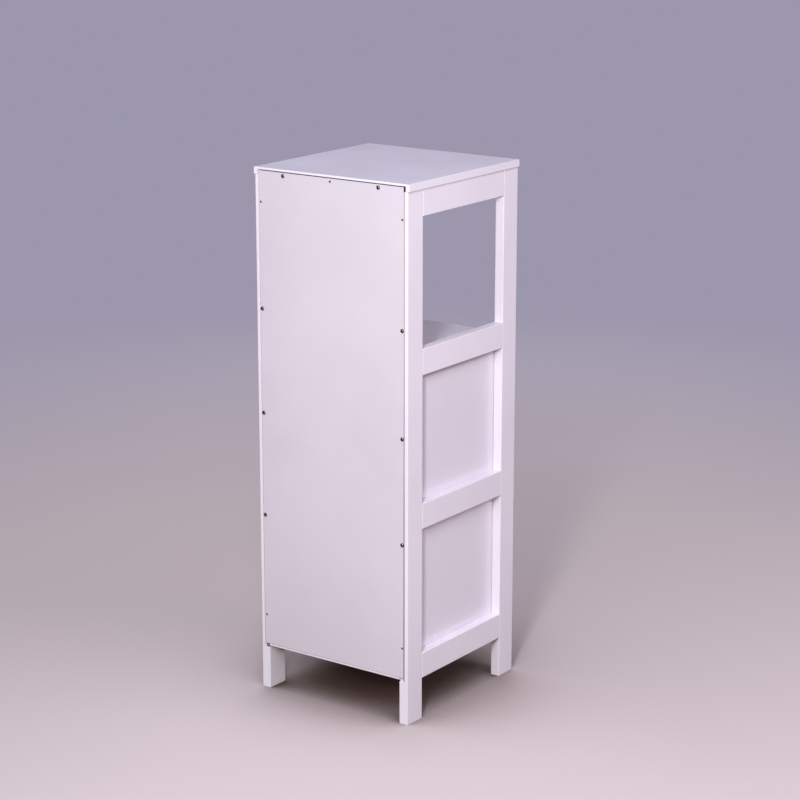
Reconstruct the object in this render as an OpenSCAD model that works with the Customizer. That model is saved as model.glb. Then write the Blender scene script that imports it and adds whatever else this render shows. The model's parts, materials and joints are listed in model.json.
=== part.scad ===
// Freestanding bathroom cabinet with an open top bay and an inset shaker door.
// Millimetres. +Z is up and the floor is Z = 0. The front faces -Y, X = 0 is the middle of the width,
// and Y = 0 is the middle of the whole depth, knob included.

/* [Carcass] */
// Width over the two side frames
body_w = 295; // [270:1:340]
// Depth of the side frames
body_d = 304; // [270:1:340]
// Height from the floor to the top surface
body_h = 870; // [780:1:960]
// Thickness of the frame members and of the fixed boards
board_t = 16; // [15:0.5:19]
// Radius on the eased arrises
ease_r = 1; // [0.4:0.1:2]

/* [Side frames] */
// Width of a stile
stile_w = 40; // [36:1:50]
// Height of a rail
rail_h = 42; // [38:1:50]
// Height of the legs below the bottom rail
leg_h = 68; // [50:1:90]
// Thickness of the sheet that closes the two lower bays
infill_t = 3; // [2.5:0.5:5]
// Width of the sheet's margin on the frame
infill_lap = 10; // [8:0.5:12]
// Diameter of the frame dowels
frame_dowel_d = 6; // [5:0.5:7]
// Depth of a frame dowel in the stile
dowel_in_stile = 13; // [10:0.5:14]
// Depth of a frame dowel in the rail
dowel_in_rail = 17; // [12:0.5:20]
// Distance between the two dowels of one joint
frame_dowel_pitch = 22; // [16:1:26]

/* [Top board] */
// Thickness of the top board
top_t = 12; // [11:0.5:16]
// Overhang at each side
top_side_over = 2.5; // [0:0.5:6]
// Overhang at the front
top_front_over = 0.5; // [0:0.5:12]
// Height of the lip above the back panel
top_lip = 3.4; // [3:0.2:5]
// How far the top board's rebate runs on past the stile rebates
top_rebate_run = 2; // [0:0.5:3]

/* [Back panel] */
// Thickness of the back panel
back_t = 3; // [2.5:0.5:5]
// Width of the stile lip beside the back panel
back_lip = 6.2; // [5:0.2:7]
// Play between the panel and the stile and bottom rebates
back_play = 0.8; // [0.2:0.1:1.2]
// Play between the panel and the top board's rebate
back_top_play = 1.4; // [0.3:0.1:1.8]
// How far the panel lies below the lips
back_sunk = 0.2; // [0:0.1:0.6]
// How far the stile rebates run on below the panel
rebate_run = 6.5; // [2:0.5:12]
// Distance of the side screws from the panel's edge
back_screw_side = 3.6; // [3.4:0.1:4.5]
// Distance of the top screws from the panel's edge
back_screw_top = 5; // [4:0.5:6]
// Distance of the end screws from the panel's corners
back_screw_end = 50; // [30:1:70]
// Distance of the outer top screws from the middle
back_screw_out = 92; // [60:1:110]

/* [Boards and shelves] */
// Height of the bottom board above the lower edge of the bottom rail
bottom_up = 6; // [2:0.5:12]
// Height of the bottom board's lip below the back panel
bottom_lip = 3; // [2.6:0.2:5]
// Thickness of the adjustable shelf
shelf_t = 12; // [10:0.5:16]
// Play between the adjustable shelf and the side sheets
shelf_play = 1.5; // [1:0.1:3]
// Play between the adjustable shelf and the back panel
shelf_back_play = 2; // [1:0.5:5]
// Play between the adjustable shelf and the closed door
shelf_door_play = 3; // [2:0.5:4]
// Distance between the rows of pin holes
pin_pitch = 32; // [25:1:40]
// Rows of pin holes above and below the row in use
pin_rows = 1; // [0:1:2]
// Diameter of a shelf pin
pin_d = 5; // [4:0.5:6]
// Distance of the pin holes from the stile's inner edge
pin_in = 18; // [16:0.5:19]
// Depth of the pin holes
pin_depth = 9; // [7:0.5:11]
// Length of the pin's flat support
pin_out = 11; // [9:0.5:14]

/* [Door] */
// Thickness of the door frame
door_t = 16; // [15:0.5:17]
// Gap round the closed door
door_gap = 2.2; // [2.2:0.1:3.5]
// Width of the door's stiles
door_stile_w = 42; // [36:1:54]
// Height of the door's rails
door_rail_h = 42; // [36:1:54]
// Thickness of the door's panel
door_panel_t = 5; // [4:0.5:6]
// Depth of the door panel below the front face
door_panel_in = 7; // [5:0.5:7.5]
// Depth of the grooves that hold the door panel
groove_d = 8; // [6:0.5:10]
// Play of the panel and the tongues in the grooves
groove_play = 0.15; // [0.1:0.05:0.3]

/* [Hinges] */
// Height of a hinge
hinge_h = 50; // [40:1:70]
// Distance of a hinge from the end of the door
hinge_in = 45; // [30:1:90]
// Thickness of a leaf
leaf_t = 0.95; // [0.8:0.05:0.95]
// Width of a leaf in the gap beside the door
leaf_w = 13; // [11:0.5:14]
// Knuckles of one hinge
knuckle_n = 5; // [3:2:7]
// Diameter of a knuckle
knuckle_d = 5.2; // [4.8:0.1:6.4]
// Diameter of the hinge pin
hinge_pin_d = 2.4; // [2:0.1:2.8]
// Distance between the two screws of one leaf
hinge_screw_pitch = 30; // [24:1:34]

/* [Knob] */
// Distance that the knob stands out from the door
knob_reach = 24; // [20:1:32]
// Diameter of the knob
knob_d = 28; // [22:1:34]
// Thickness of the knob's head
knob_head_t = 9; // [7:0.5:11]
// Diameter of the knob's foot
knob_foot_d = 16; // [14:0.5:19]
// Diameter of the knob's neck
knob_neck_d = 9.5; // [8:0.5:11]
// Distance of the knob below the top of the door
knob_drop = 150; // [80:1:230]
// Diameter of the knob's screw
knob_screw_d = 4; // [3.5:0.5:5]

/* [Magnetic catch] */
// Distance of the catch from the latch edge of the door
catch_in = 76; // [68:1:100]
// Length of the catch's housing
catch_l = 44; // [42:1:50]
// Depth of the catch's housing
catch_d = 14; // [13:0.5:18]
// Gap between the poles and the strike plate of the closed door
catch_gap = 0.3; // [0.3:0.1:0.6]
// Thickness of the strike plate
strike_t = 1.2; // [1:0.1:1.6]
// Height of the strike plate
strike_h = 11; // [10:0.5:14]
// Width of the strike plate
strike_w = 26; // [22:1:32]
// Distance of the strike plate below the top of the door
strike_in = 1; // [0.5:0.5:4]

/* [Cam fittings and dowels] */
// Diameter of a cam lock
cam_d = 14.8; // [14:0.2:15.6]
// Depth of a cam lock
cam_t = 12; // [11.6:0.1:12.6]
// Distance of a cam's centre from the joint
cam_in = 24; // [22:0.5:27]
// Diameter of the cam bolt's threaded end
bolt_d = 6; // [5:0.5:7]
// Depth of the threaded end
bolt_in = 9; // [7:0.5:9.5]
// Distance of the cam bolts from the ends of a rail
bolt_end = 62; // [54:1:80]
// Diameter of the carcass dowels
dowel_d = 8; // [6:0.5:8]
// Distance of the carcass dowels from the ends of a rail
dowel_end = 30; // [26:1:38]
// Depth of a carcass dowel in the piece with the flat face
dowel_short = 8; // [6:0.5:9]
// Depth of a carcass dowel in the piece with the narrow face
dowel_long = 21; // [15:0.5:24]

/* [Wood screws] */
// Diameter of the shank
screw_d = 3; // [2.5:0.1:3.2]
// Diameter of the back panel's pan heads
pan_d = 6.4; // [5.6:0.1:6.6]
// Height of the back panel's pan heads
pan_h = 2.3; // [1.8:0.1:2.8]
// Length of the back panel's screws
pan_l = 14; // [10:0.5:18]
// Diameter of the countersunk heads
flat_d = 5; // [4.4:0.1:5.6]
// Length of the hinge screws
flat_l = 12; // [9:0.5:13.5]

/* [Hidden] */
$fn = 48;

white = [0.90, 0.87, 0.91];
raw_board = [0.72, 0.58, 0.47];
beech = [0.80, 0.66, 0.46];
steel = [0.72, 0.72, 0.74];
zinc = [0.62, 0.63, 0.65];
nickel = [0.76, 0.74, 0.71];
ferrite = [0.16, 0.16, 0.17];
plastic = [0.93, 0.93, 0.93];

// Small distance by which a cut runs past the face that it opens
over = 1;
// Radial play of a pin, a shank or a dowel in its hole
fit = 0.05;
// Room left past the end of a dowel or a screw
end_room = 0.5;
// Distance kept between a moving piece and a fixed one
run_gap = 0.3;

// Levels and planes of the carcass. The depth runs from the knob to the heads of the back screws.
back_reach = pan_h - back_sunk;
back_y = (body_d + knob_reach - back_reach) / 2;
front_y = back_y - body_d;
middle_y = (back_y + front_y) / 2;
in_x = body_w / 2 - board_t;
core_x = body_w / 2 - board_t / 2;
frame_top = body_h - top_t;
rail_l = body_d - 2 * stile_w;
bay_h = (frame_top - leg_h - 4 * rail_h) / 3;
BOTTOM = 0;
LOWER = 1;
UPPER = 2;
TOP = 3;
function rail_z(i) = leg_h + i * (rail_h + bay_h);
bottom_z = leg_h + bottom_up;
bottom_top = bottom_z + board_t;
shelf_z = rail_z(UPPER);
shelf_top = shelf_z + board_t;

// Back panel and the rebates that hold it
rebate_d = back_t + back_sunk;
rebate_y = back_y - rebate_d;
rebate_x = body_w / 2 - back_lip;
top_rebate_x = rebate_x + top_rebate_run;
panel_x = rebate_x - back_play;
panel_z0 = bottom_z + bottom_lip + back_play;
panel_z1 = body_h - top_lip - back_top_play;
side_screw_n = 5;
side_screw_pitch = (panel_z1 - panel_z0 - 2 * back_screw_end) / (side_screw_n - 1);
// The end holes of each side row and the middle one at the top stay empty
side_screw_zs = [for (i = [0 : side_screw_n - 1]) panel_z0 + back_screw_end + i * side_screw_pitch];
side_used_zs = [for (i = [1 : side_screw_n - 2]) side_screw_zs[i]];
side_screw_x = panel_x - back_screw_side;
top_screw_xs = [-back_screw_out, 0, back_screw_out];
top_used_xs = [-back_screw_out, back_screw_out];
top_screw_z = panel_z1 - back_screw_top;

// Cam fittings and carcass dowels, measured along Y from the middle of a rail
bolt_ys = [for (s = [-1, 1]) middle_y + s * (rail_l / 2 - bolt_end)];
dowel_ys = [for (s = [-1, 1]) middle_y + s * (rail_l / 2 - dowel_end)];
bolt_hole_d = 8;
bolt_collar_d = 7.4;
bolt_collar_t = 1.2;
bolt_shank_d = 5;
bolt_neck_d = 3;
bolt_head_d = 5.8;
bolt_head_l = 3.2;
cam_hole_play = 0.2;
cam_hole_room = 0.4;
cam_hole_d = cam_d + cam_hole_play;
cam_hole_t = cam_t + cam_hole_room;
cam_rim_w = 1.9;
cam_hollow_d = cam_d - 2 * cam_rim_w;
cam_hollow_l = 6.8;
cam_slot_play = 0.8;
cam_slot_w = bolt_neck_d + cam_slot_play;
cam_cross_l = 7.5;
cam_cross_w = 1.4;
cam_cross_t = 2.2;

// Shelf pins
pin_ys = [middle_y - rail_l / 2 - pin_in, middle_y + rail_l / 2 + pin_in];
pin_row_z = rail_z(LOWER) + rail_h / 2;
pin_zs = [for (i = [-pin_rows : pin_rows]) pin_row_z + i * pin_pitch];
pin_spoon_w = 8.6;
pin_spoon_t = 2.4;
pin_collar_d = 8;
pin_collar_t = 1;
pin_seat_z = pin_row_z + pin_d / 2;
shelf_half = in_x - infill_t - shelf_play;
shelf_y0 = front_y + door_t + shelf_door_play;
shelf_y1 = rebate_y - shelf_back_play;

// Door
door_x0 = -in_x + door_gap;
door_x1 = in_x - door_gap;
door_z0 = bottom_top + door_gap;
door_z1 = shelf_z - door_gap;
door_back = front_y + door_t;
groove_w = door_panel_t + 2 * groove_play;
groove_y = front_y + door_panel_in - groove_play;
door_field_x0 = door_x0 + door_stile_w;
door_field_x1 = door_x1 - door_stile_w;
door_field_z0 = door_z0 + door_rail_h;
door_field_z1 = door_z1 - door_rail_h;

// Hinges, whose knuckles stand in front of the gap at the left of the door
knuckle_r = knuckle_d / 2;
axis_x = -in_x + door_gap / 2;
axis_y = front_y - run_gap - knuckle_r;
leaf_end_y = front_y + leaf_w;
leaf_screw_off = 0.5;
leaf_screw_y = front_y + leaf_w / 2 + leaf_screw_off;
knuckle_pitch = hinge_h / knuckle_n;
knuckle_gap = 0.2;
pin_head_in = 0.5;
pin_head_d = knuckle_d - 2 * pin_head_in;
pin_head_h = 1.2;
lower_hinge_z = door_z0 + hinge_in;
upper_hinge_z = door_z1 - hinge_in - hinge_h;
hinge_zs = [lower_hinge_z, upper_hinge_z];
function hinge_screw_zs(z) = [for (s = [-1, 1]) z + hinge_h / 2 + s * hinge_screw_pitch / 2];

// Knob
knob_x = door_x1 - door_stile_w / 2;
knob_z = door_z1 - knob_drop;
knob_thread_l = 11;
knob_foot_t = 2.5;
knob_foot_step = 1.2;
knob_dome_h = 3;
knob_waist_over = 1;
knob_head_d = knob_screw_d * 2;
knob_head_h = 2.2;

// Magnetic catch and strike plate
catch_x = door_x1 - catch_in;
strike_y = door_back + strike_t;
pole_y = strike_y + catch_gap;
pole_out = 0.8;
catch_y0 = pole_y + pole_out;
pole_w = 20;
pole_t = 1.8;
pole_d = 9;
magnet_t = 4.4;
catch_wall = 1.6;
strike_z = door_z1 - strike_in - strike_h / 2;
catch_h = shelf_z - strike_z + magnet_t / 2 + pole_t + catch_wall;
catch_ear_l = 9;
catch_ear_t = 3;
catch_screw_l = 12;
catch_screw_y = catch_y0 + catch_d / 2;
catch_screw_x = catch_l / 2 - catch_ear_l / 2;
strike_screw_l = 10;
strike_r = 2;

// Profiles

// Rectangle from the origin with rounded corners
module eased(a, b, r = ease_r) {
    translate([r, 0]) square([a - 2 * r, b]);
    translate([0, r]) square([a, b - 2 * r]);
    for (x = [r, a - r], y = [r, b - r])
        translate([x, y]) circle(r);
}

// Board whose arrises along X and Y are eased, from the origin
module eased_board(x, y, z, r = ease_r) {
    intersection() {
        translate([0, y, 0]) rotate([90, 0, 0]) linear_extrude(y) eased(x, z, r);
        rotate([90, 0, 90]) linear_extrude(x) eased(y, z, r);
    }
}

// Upright piece whose arrises along Z and X are eased, from the origin
module eased_upright(x, y, z, r = ease_r) {
    intersection() {
        linear_extrude(z) eased(x, y, r);
        rotate([90, 0, 90]) linear_extrude(x) eased(y, z, r);
    }
}

// Rail along Y whose long arrises and upright end arrises are eased, from the origin
module eased_rail(x, y, z, r = ease_r) {
    intersection() {
        translate([0, y, 0]) rotate([90, 0, 0]) linear_extrude(y) eased(x, z, r);
        linear_extrude(z) eased(x, y, r);
    }
}

// Board along X whose long arrises are eased and whose ends are square
module square_ended_board(x, y, z, r = ease_r) {
    rotate([90, 0, 90]) linear_extrude(x) eased(y, z, r);
}

// Outline of a countersunk head from its flat face at height 0 downwards
module flat_head_outline(play) {
    polygon([
        [0, 0], [flat_d / 2 + play, 0],
        [screw_d / 2 + play, -(flat_d - screw_d) / 2], [0, -(flat_d - screw_d) / 2],
    ]);
}

// Cross recess in a screw head, cut downwards from height 0
module cross_recess(l, w, t) {
    for (a = [0, 90])
        rotate(a) translate([-l / 2, -w / 2, -t]) cube([l, w, t + over]);
}

// Cylindrical hole along +Z with its mouth at height 0, open past the mouth
module hole(d, depth) {
    translate([0, 0, -depth]) cylinder(d = d, h = depth + over);
}

// Dowel along Z with chamfered ends, from z0 to z1
module dowel(d, z0, z1) {
    chamfer = 1;
    rotate_extrude() polygon([
        [0, z0], [d / 2 - chamfer, z0], [d / 2, z0 + chamfer],
        [d / 2, z1 - chamfer], [d / 2 - chamfer, z1], [0, z1],
    ]);
}

// Wood screw with a pan head that sits on height 0 and points down
module pan_screw(head_d, head_h, l) {
    rim = 0.7;
    tip = screw_d;
    dome = head_h - rim;
    dome_r = (head_d * head_d / 4 + dome * dome) / (2 * dome);
    difference() {
        union() {
            rotate_extrude() {
                square([head_d / 2, rim]);
                translate([0, rim]) intersection() {
                    translate([0, dome - dome_r]) circle(dome_r);
                    square([head_d / 2, dome]);
                }
            }
            rotate_extrude() polygon([
                [0, -l], [screw_d / 2, -l + tip], [screw_d / 2, rim / 2], [0, rim / 2],
            ]);
        }
        translate([0, 0, head_h]) cross_recess(head_d * 0.55, 0.9, head_h * 0.6);
    }
}

// Wood screw with a countersunk head flush with height 0, pointing down
module flat_screw(l) {
    tip = screw_d;
    difference() {
        union() {
            rotate_extrude() flat_head_outline(0);
            rotate_extrude() polygon([
                [0, -l], [screw_d / 2, -l + tip], [screw_d / 2, -fit], [0, -fit],
            ]);
        }
        cross_recess(flat_d * 0.5, 0.8, 0.9);
    }
}

// Hole for a countersunk screw, with its seat flush with height 0
module flat_screw_hole(l) {
    rotate_extrude() flat_head_outline(fit);
    hole(screw_d + 2 * fit, l + end_room);
}

// Fittings

// Cam lock with its slotted face at height 0, pointing down, turned to a bolt that comes along +X
module cam_lock(axis_depth) {
    difference() {
        translate([0, 0, -cam_t]) cylinder(d = cam_d, h = cam_t);
        translate([0, 0, -axis_depth - cam_hollow_l / 2])
            cylinder(d = cam_hollow_d, h = cam_hollow_l);
        translate([0, -cam_slot_w / 2, -axis_depth - cam_slot_w / 2])
            cube([cam_d, cam_slot_w, cam_slot_w]);
        translate([0, 0, -axis_depth]) rotate([0, -90, 0])
            cylinder(d = cam_hollow_l, h = cam_d);
        cross_recess(cam_cross_l, cam_cross_w, cam_cross_t);
    }
}

// Cam bolt along Z: threaded end below height 0, round head at the cam's centre above
module cam_bolt() {
    chamfer = 0.8;
    head_z = cam_in - bolt_head_l / 2;
    neck_z = cam_in - cam_d / 2 - run_gap;
    rotate_extrude() polygon([
        [0, -bolt_in], [bolt_d / 2 - chamfer, -bolt_in], [bolt_d / 2, -bolt_in + chamfer], [bolt_d / 2, 0],
        [bolt_collar_d / 2, 0], [bolt_collar_d / 2, bolt_collar_t],
        [bolt_shank_d / 2, bolt_collar_t], [bolt_shank_d / 2, neck_z - chamfer],
        [bolt_neck_d / 2, neck_z], [bolt_neck_d / 2, head_z],
        [bolt_head_d / 2, head_z], [bolt_head_d / 2, head_z + bolt_head_l * 0.6],
        [bolt_head_d / 2 - chamfer, head_z + bolt_head_l], [0, head_z + bolt_head_l],
    ]);
}

// Places its child at each left-hand cam joint: height 0 is the joint, +Z runs into the narrow face
module at_top_joint(ys) {
    for (y = ys) translate([-core_x, y, frame_top]) mirror([0, 0, 1]) children();
}
module at_board_joint(ys, z) {
    for (y = ys) translate([-in_x, y, z + board_t / 2]) rotate([0, 90, 0]) children();
}
// Repeats its child on both sides of the cabinet
module both_sides() {
    children();
    mirror([1, 0, 0]) children();
}

// Cam pockets and bolt holes
module top_cam_place() {
    for (y = bolt_ys)
        translate([-in_x, y, frame_top - cam_in]) rotate([0, 90, 0]) rotate(180) children();
}
module board_cam_place(z) {
    for (y = bolt_ys)
        translate([-in_x + cam_in, y, z]) rotate([180, 0, 180]) children();
}

// Side frames, drawn at the left and mirrored for the right

module frame_dowel_place() {
    for (i = [BOTTOM : TOP], s = [-1, 1], t = [-1, 1])
        translate([-core_x, middle_y + s * rail_l / 2, rail_z(i) + rail_h / 2 + t * frame_dowel_pitch / 2])
            rotate([s * 90, 0, 0]) children();
}

// Dowel hole on both sides of the joint between a stile and a rail
module frame_dowel_hole() {
    d = frame_dowel_d + 2 * fit;
    translate([0, 0, -dowel_in_stile - end_room])
        cylinder(d = d, h = dowel_in_stile + dowel_in_rail + 2 * end_room);
}

module pin_hole_place(zs) {
    for (y = pin_ys, z = zs)
        translate([-in_x, y, z]) rotate([0, 90, 0]) children();
}

module stile_blank(y0) {
    translate([-body_w / 2, y0, 0]) linear_extrude(frame_top) eased(board_t, stile_w);
}

module front_stile() {
    difference() {
        stile_blank(front_y);
        frame_dowel_place() frame_dowel_hole();
        pin_hole_place(pin_zs) hole(pin_d + 2 * fit, pin_depth);
    }
}

module back_stile() {
    difference() {
        stile_blank(back_y - stile_w);
        translate([-rebate_x, rebate_y, panel_z0 - rebate_run])
            cube([board_t, rebate_d + over, body_h]);
        frame_dowel_place() frame_dowel_hole();
        pin_hole_place(pin_zs) hole(pin_d + 2 * fit, pin_depth);
        back_side_screw_place(side_screw_zs) hole(screw_d + 2 * fit, pan_l);
    }
}

module rail(i) {
    translate([-body_w / 2, middle_y - rail_l / 2, rail_z(i)]) eased_rail(board_t, rail_l, rail_h);
}

module top_rail() {
    difference() {
        rail(TOP);
        frame_dowel_place() frame_dowel_hole();
        top_cam_place() hole(cam_hole_d, cam_hole_t);
        at_top_joint(bolt_ys) mirror([0, 0, 1]) hole(bolt_hole_d, cam_in);
        at_top_joint(dowel_ys) mirror([0, 0, 1]) hole(dowel_d + 2 * fit, dowel_long + end_room);
    }
}

// Rail that carries the end of a board on its inner face
module board_rail(i, z) {
    difference() {
        rail(i);
        frame_dowel_place() frame_dowel_hole();
        at_board_joint(bolt_ys, z) hole(bolt_d + 2 * fit, bolt_in + end_room);
        at_board_joint(dowel_ys, z) hole(dowel_d + 2 * fit, dowel_short + end_room);
    }
}

module lower_rail() {
    difference() {
        rail(LOWER);
        frame_dowel_place() frame_dowel_hole();
    }
}

module infill_panel() {
    z0 = rail_z(BOTTOM) + rail_h - infill_lap;
    l = rail_l + 2 * infill_lap;
    translate([-in_x, middle_y - l / 2, z0]) cube([infill_t, l, shelf_z - z0]);
}

module frame_dowels() {
    frame_dowel_place() dowel(frame_dowel_d, -dowel_in_stile, dowel_in_rail);
}

// Boards

module top_board() {
    color(white) difference() {
        translate([-body_w / 2 - top_side_over, front_y - top_front_over, frame_top])
            eased_board(body_w + 2 * top_side_over, body_d + top_front_over, top_t);
        translate([-top_rebate_x, rebate_y, frame_top - over])
            cube([2 * top_rebate_x, rebate_d + over, top_t - top_lip + over]);
        both_sides() {
            at_top_joint(bolt_ys) hole(bolt_d + 2 * fit, bolt_in + end_room);
            at_top_joint(dowel_ys) hole(dowel_d + 2 * fit, dowel_short + end_room);
        }
        back_top_screw_place(top_screw_xs) hole(screw_d + 2 * fit, pan_l);
    }
}

// Fixed board between the side frames with cam fittings in its underside
module fixed_board(z, depth) {
    difference() {
        translate([-in_x, front_y, z]) square_ended_board(2 * in_x, depth, board_t);
        both_sides() {
            board_cam_place(z) hole(cam_hole_d, cam_hole_t);
            at_board_joint(bolt_ys, z) mirror([0, 0, 1]) hole(bolt_hole_d, cam_in);
            at_board_joint(dowel_ys, z) mirror([0, 0, 1]) hole(dowel_d + 2 * fit, dowel_long + end_room);
        }
    }
}

module fixed_shelf() {
    color(white) difference() {
        fixed_board(shelf_z, rebate_y - front_y);
        for (s = [-1, 1])
            translate([catch_x + s * catch_screw_x, catch_screw_y, shelf_z])
                mirror([0, 0, 1]) hole(screw_d + 2 * fit, catch_screw_l - catch_ear_t + end_room);
    }
}

module bottom_board() {
    color(white) difference() {
        fixed_board(bottom_z, body_d);
        translate([-in_x - over, rebate_y, bottom_z + bottom_lip])
            cube([2 * in_x + 2 * over, rebate_d + over, board_t]);
    }
}

module adjustable_shelf() {
    color(white) translate([-shelf_half, shelf_y0, pin_seat_z])
        eased_board(2 * shelf_half, shelf_y1 - shelf_y0, shelf_t);
}

// Back panel and its screws

module back_side_screw_place(zs) {
    for (z = zs) translate([-side_screw_x, rebate_y + back_t, z]) rotate([-90, 0, 0]) children();
}
module back_top_screw_place(xs) {
    for (x = xs) translate([x, rebate_y + back_t, top_screw_z]) rotate([-90, 0, 0]) children();
}

module back_panel() {
    color(white) difference() {
        translate([-panel_x, rebate_y, panel_z0]) cube([2 * panel_x, back_t, panel_z1 - panel_z0]);
        both_sides() back_side_screw_place(side_screw_zs) hole(screw_d + 2 * fit, back_t + over);
        back_top_screw_place(top_screw_xs) hole(screw_d + 2 * fit, back_t + over);
    }
}

module back_panel_screws() {
    color(steel) {
        both_sides() back_side_screw_place(side_used_zs) pan_screw(pan_d, pan_h, pan_l - end_room);
        back_top_screw_place(top_used_xs) pan_screw(pan_d, pan_h, pan_l - end_room);
    }
}

// Shelf pins

module shelf_pin() {
    // Shank in the stile, collar on its face and a flat support under the shelf
    translate([0, 0, -pin_depth + end_room]) cylinder(d = pin_d, h = pin_depth);
    cylinder(d = pin_collar_d, h = pin_collar_t);
    translate([-pin_d / 2, -pin_spoon_w / 2, 0]) cube([pin_spoon_t, pin_spoon_w, pin_out]);
}

module shelf_pins() {
    color(steel) both_sides() pin_hole_place([pin_row_z]) difference() {
        shelf_pin();
        translate([-pin_d / 2 - pin_collar_d, -pin_collar_d, 0])
            cube([pin_collar_d, 2 * pin_collar_d, pin_out + over]);
    }
}

// Door

module door_stile(x, groove_x) {
    difference() {
        translate([x, front_y, door_z0]) eased_upright(door_stile_w, door_t, door_z1 - door_z0);
        translate([groove_x, groove_y, door_z0 - over])
            cube([groove_d + over, groove_w, door_z1 - door_z0 + 2 * over]);
    }
}

module leaf_screw_holes(x, turn) {
    for (hz = hinge_zs, z = hinge_screw_zs(hz))
        translate([x, leaf_screw_y, z]) rotate([0, turn, 0]) flat_screw_hole(flat_l);
}

module door_hinge_stile() {
    color(white) difference() {
        door_stile(door_x0, door_field_x0 - groove_d);
        leaf_screw_holes(door_x0 - leaf_t, -90);
    }
}

module door_latch_stile() {
    color(white) difference() {
        door_stile(door_x1 - door_stile_w, door_field_x1 - over);
        translate([knob_x, door_back, knob_z]) rotate([-90, 0, 0])
            hole(knob_screw_d + 2 * fit, door_t + over);
    }
}

// Rail between the door's stiles, with a tongue at each end and a groove for the panel
module door_rail(z, groove_z) {
    tongue = groove_d - groove_play;
    difference() {
        union() {
            translate([door_field_x0, front_y, z])
                square_ended_board(door_field_x1 - door_field_x0, door_t, door_rail_h);
            translate([door_field_x0 - tongue, groove_y + groove_play, z + ease_r])
                cube([
                    door_field_x1 - door_field_x0 + 2 * tongue,
                    door_panel_t, door_rail_h - 2 * ease_r,
                ]);
        }
        translate([door_field_x0 - groove_d - over, groove_y, groove_z])
            cube([
                door_field_x1 - door_field_x0 + 2 * groove_d + 2 * over,
                groove_w, groove_d + over,
            ]);
    }
}

module door_top_rail() {
    color(white) difference() {
        door_rail(door_field_z1, door_field_z1 - over);
        translate([catch_x, door_back + strike_t, strike_z]) rotate([-90, 0, 0])
            flat_screw_hole(strike_screw_l);
    }
}

module door_bottom_rail() {
    color(white) door_rail(door_z0, door_field_z0 - groove_d);
}

module door_panel() {
    lap = groove_d - 2 * groove_play;
    color(white)
        translate([door_field_x0 - lap, groove_y + groove_play, door_field_z0 - lap])
            cube([
                door_field_x1 - door_field_x0 + 2 * lap, door_panel_t,
                door_field_z1 - door_field_z0 + 2 * lap,
            ]);
}

// Hinges

module knuckles(z, first, grow, gap) {
    for (i = [first : 2 : knuckle_n - 1])
        translate([axis_x, axis_y, z + i * knuckle_pitch + gap / 2])
            cylinder(r = knuckle_r + grow, h = knuckle_pitch - gap);
}

// One leaf: a plate against the wood and every second knuckle. The first knuckle is number 0 or 1.
module hinge_leaf(z, first, plate_x, turn, face_x) {
    color(nickel) difference() {
        union() {
            difference() {
                translate([plate_x, axis_y, z]) cube([leaf_t, leaf_end_y - axis_y, hinge_h]);
                for (i = [1 - first : 2 : knuckle_n - 1])
                    translate([plate_x - over, axis_y - over, z + i * knuckle_pitch - knuckle_gap / 2])
                        cube([leaf_t + 2 * over, over + knuckle_r + run_gap, knuckle_pitch + knuckle_gap]);
            }
            knuckles(z, first, 0, knuckle_gap);
        }
        translate([axis_x, axis_y, z - over])
            cylinder(d = hinge_pin_d + 2 * fit, h = hinge_h + 2 * over);
        for (sz = hinge_screw_zs(z))
            translate([face_x, leaf_screw_y, sz]) rotate([0, turn, 0]) flat_screw_hole(flat_l);
    }
}

module hinge_frame_leaf(z) {
    hinge_leaf(z, 0, -in_x, 90, -in_x + leaf_t);
}

module hinge_door_leaf(z) {
    hinge_leaf(z, 1, door_x0 - leaf_t, -90, door_x0 - leaf_t);
}

module hinge_pin(z) {
    color(nickel) translate([axis_x, axis_y, z]) {
        cylinder(d = hinge_pin_d, h = hinge_h);
        translate([0, 0, hinge_h]) cylinder(d1 = pin_head_d, d2 = hinge_pin_d, h = pin_head_h);
        translate([0, 0, -pin_head_h]) cylinder(d1 = hinge_pin_d, d2 = pin_head_d, h = pin_head_h);
    }
}

module hinge_frame_screws() {
    color(steel) for (hz = hinge_zs, z = hinge_screw_zs(hz))
        translate([-in_x + leaf_t, leaf_screw_y, z]) rotate([0, 90, 0]) flat_screw(flat_l);
}

module hinge_door_screws() {
    color(steel) for (hz = hinge_zs, z = hinge_screw_zs(hz))
        translate([door_x0 - leaf_t, leaf_screw_y, z]) rotate([0, -90, 0]) flat_screw(flat_l);
}

// Knob and its screw

// Half outline of the turned knob: a stepped foot, a waisted neck and a domed head with a round rim
module knob_outline() {
    foot_r = knob_foot_d / 2;
    neck_r = knob_neck_d / 2;
    neck_l = knob_reach - knob_head_t - knob_foot_t;
    rim_r = knob_head_t / 2 - knob_dome_h / 2;
    rim_x = knob_d / 2 - rim_r;
    dome_r = (rim_x * rim_x + knob_dome_h * knob_dome_h) / (2 * knob_dome_h);
    square([foot_r, knob_foot_t]);
    // The waist is hollowed by a circle that touches the neck halfway up
    waist_r = neck_l / 2 + knob_waist_over;
    translate([0, knob_foot_t]) difference() {
        square([foot_r - knob_foot_step, neck_l + rim_r]);
        translate([neck_r + waist_r, neck_l / 2]) circle(waist_r);
    }
    translate([0, knob_reach - knob_head_t]) {
        square([rim_x, 2 * rim_r]);
        translate([rim_x, rim_r]) circle(rim_r);
        translate([0, 2 * rim_r]) intersection() {
            translate([0, knob_dome_h - dome_r]) circle(dome_r);
            square([rim_x, knob_dome_h]);
        }
    }
}

module door_knob() {
    color(nickel) translate([knob_x, front_y, knob_z]) rotate([90, 0, 0]) difference() {
        rotate_extrude() knob_outline();
        translate([0, 0, -over]) cylinder(d = knob_screw_d + 2 * fit, h = knob_thread_l + end_room + over);
    }
}

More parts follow.
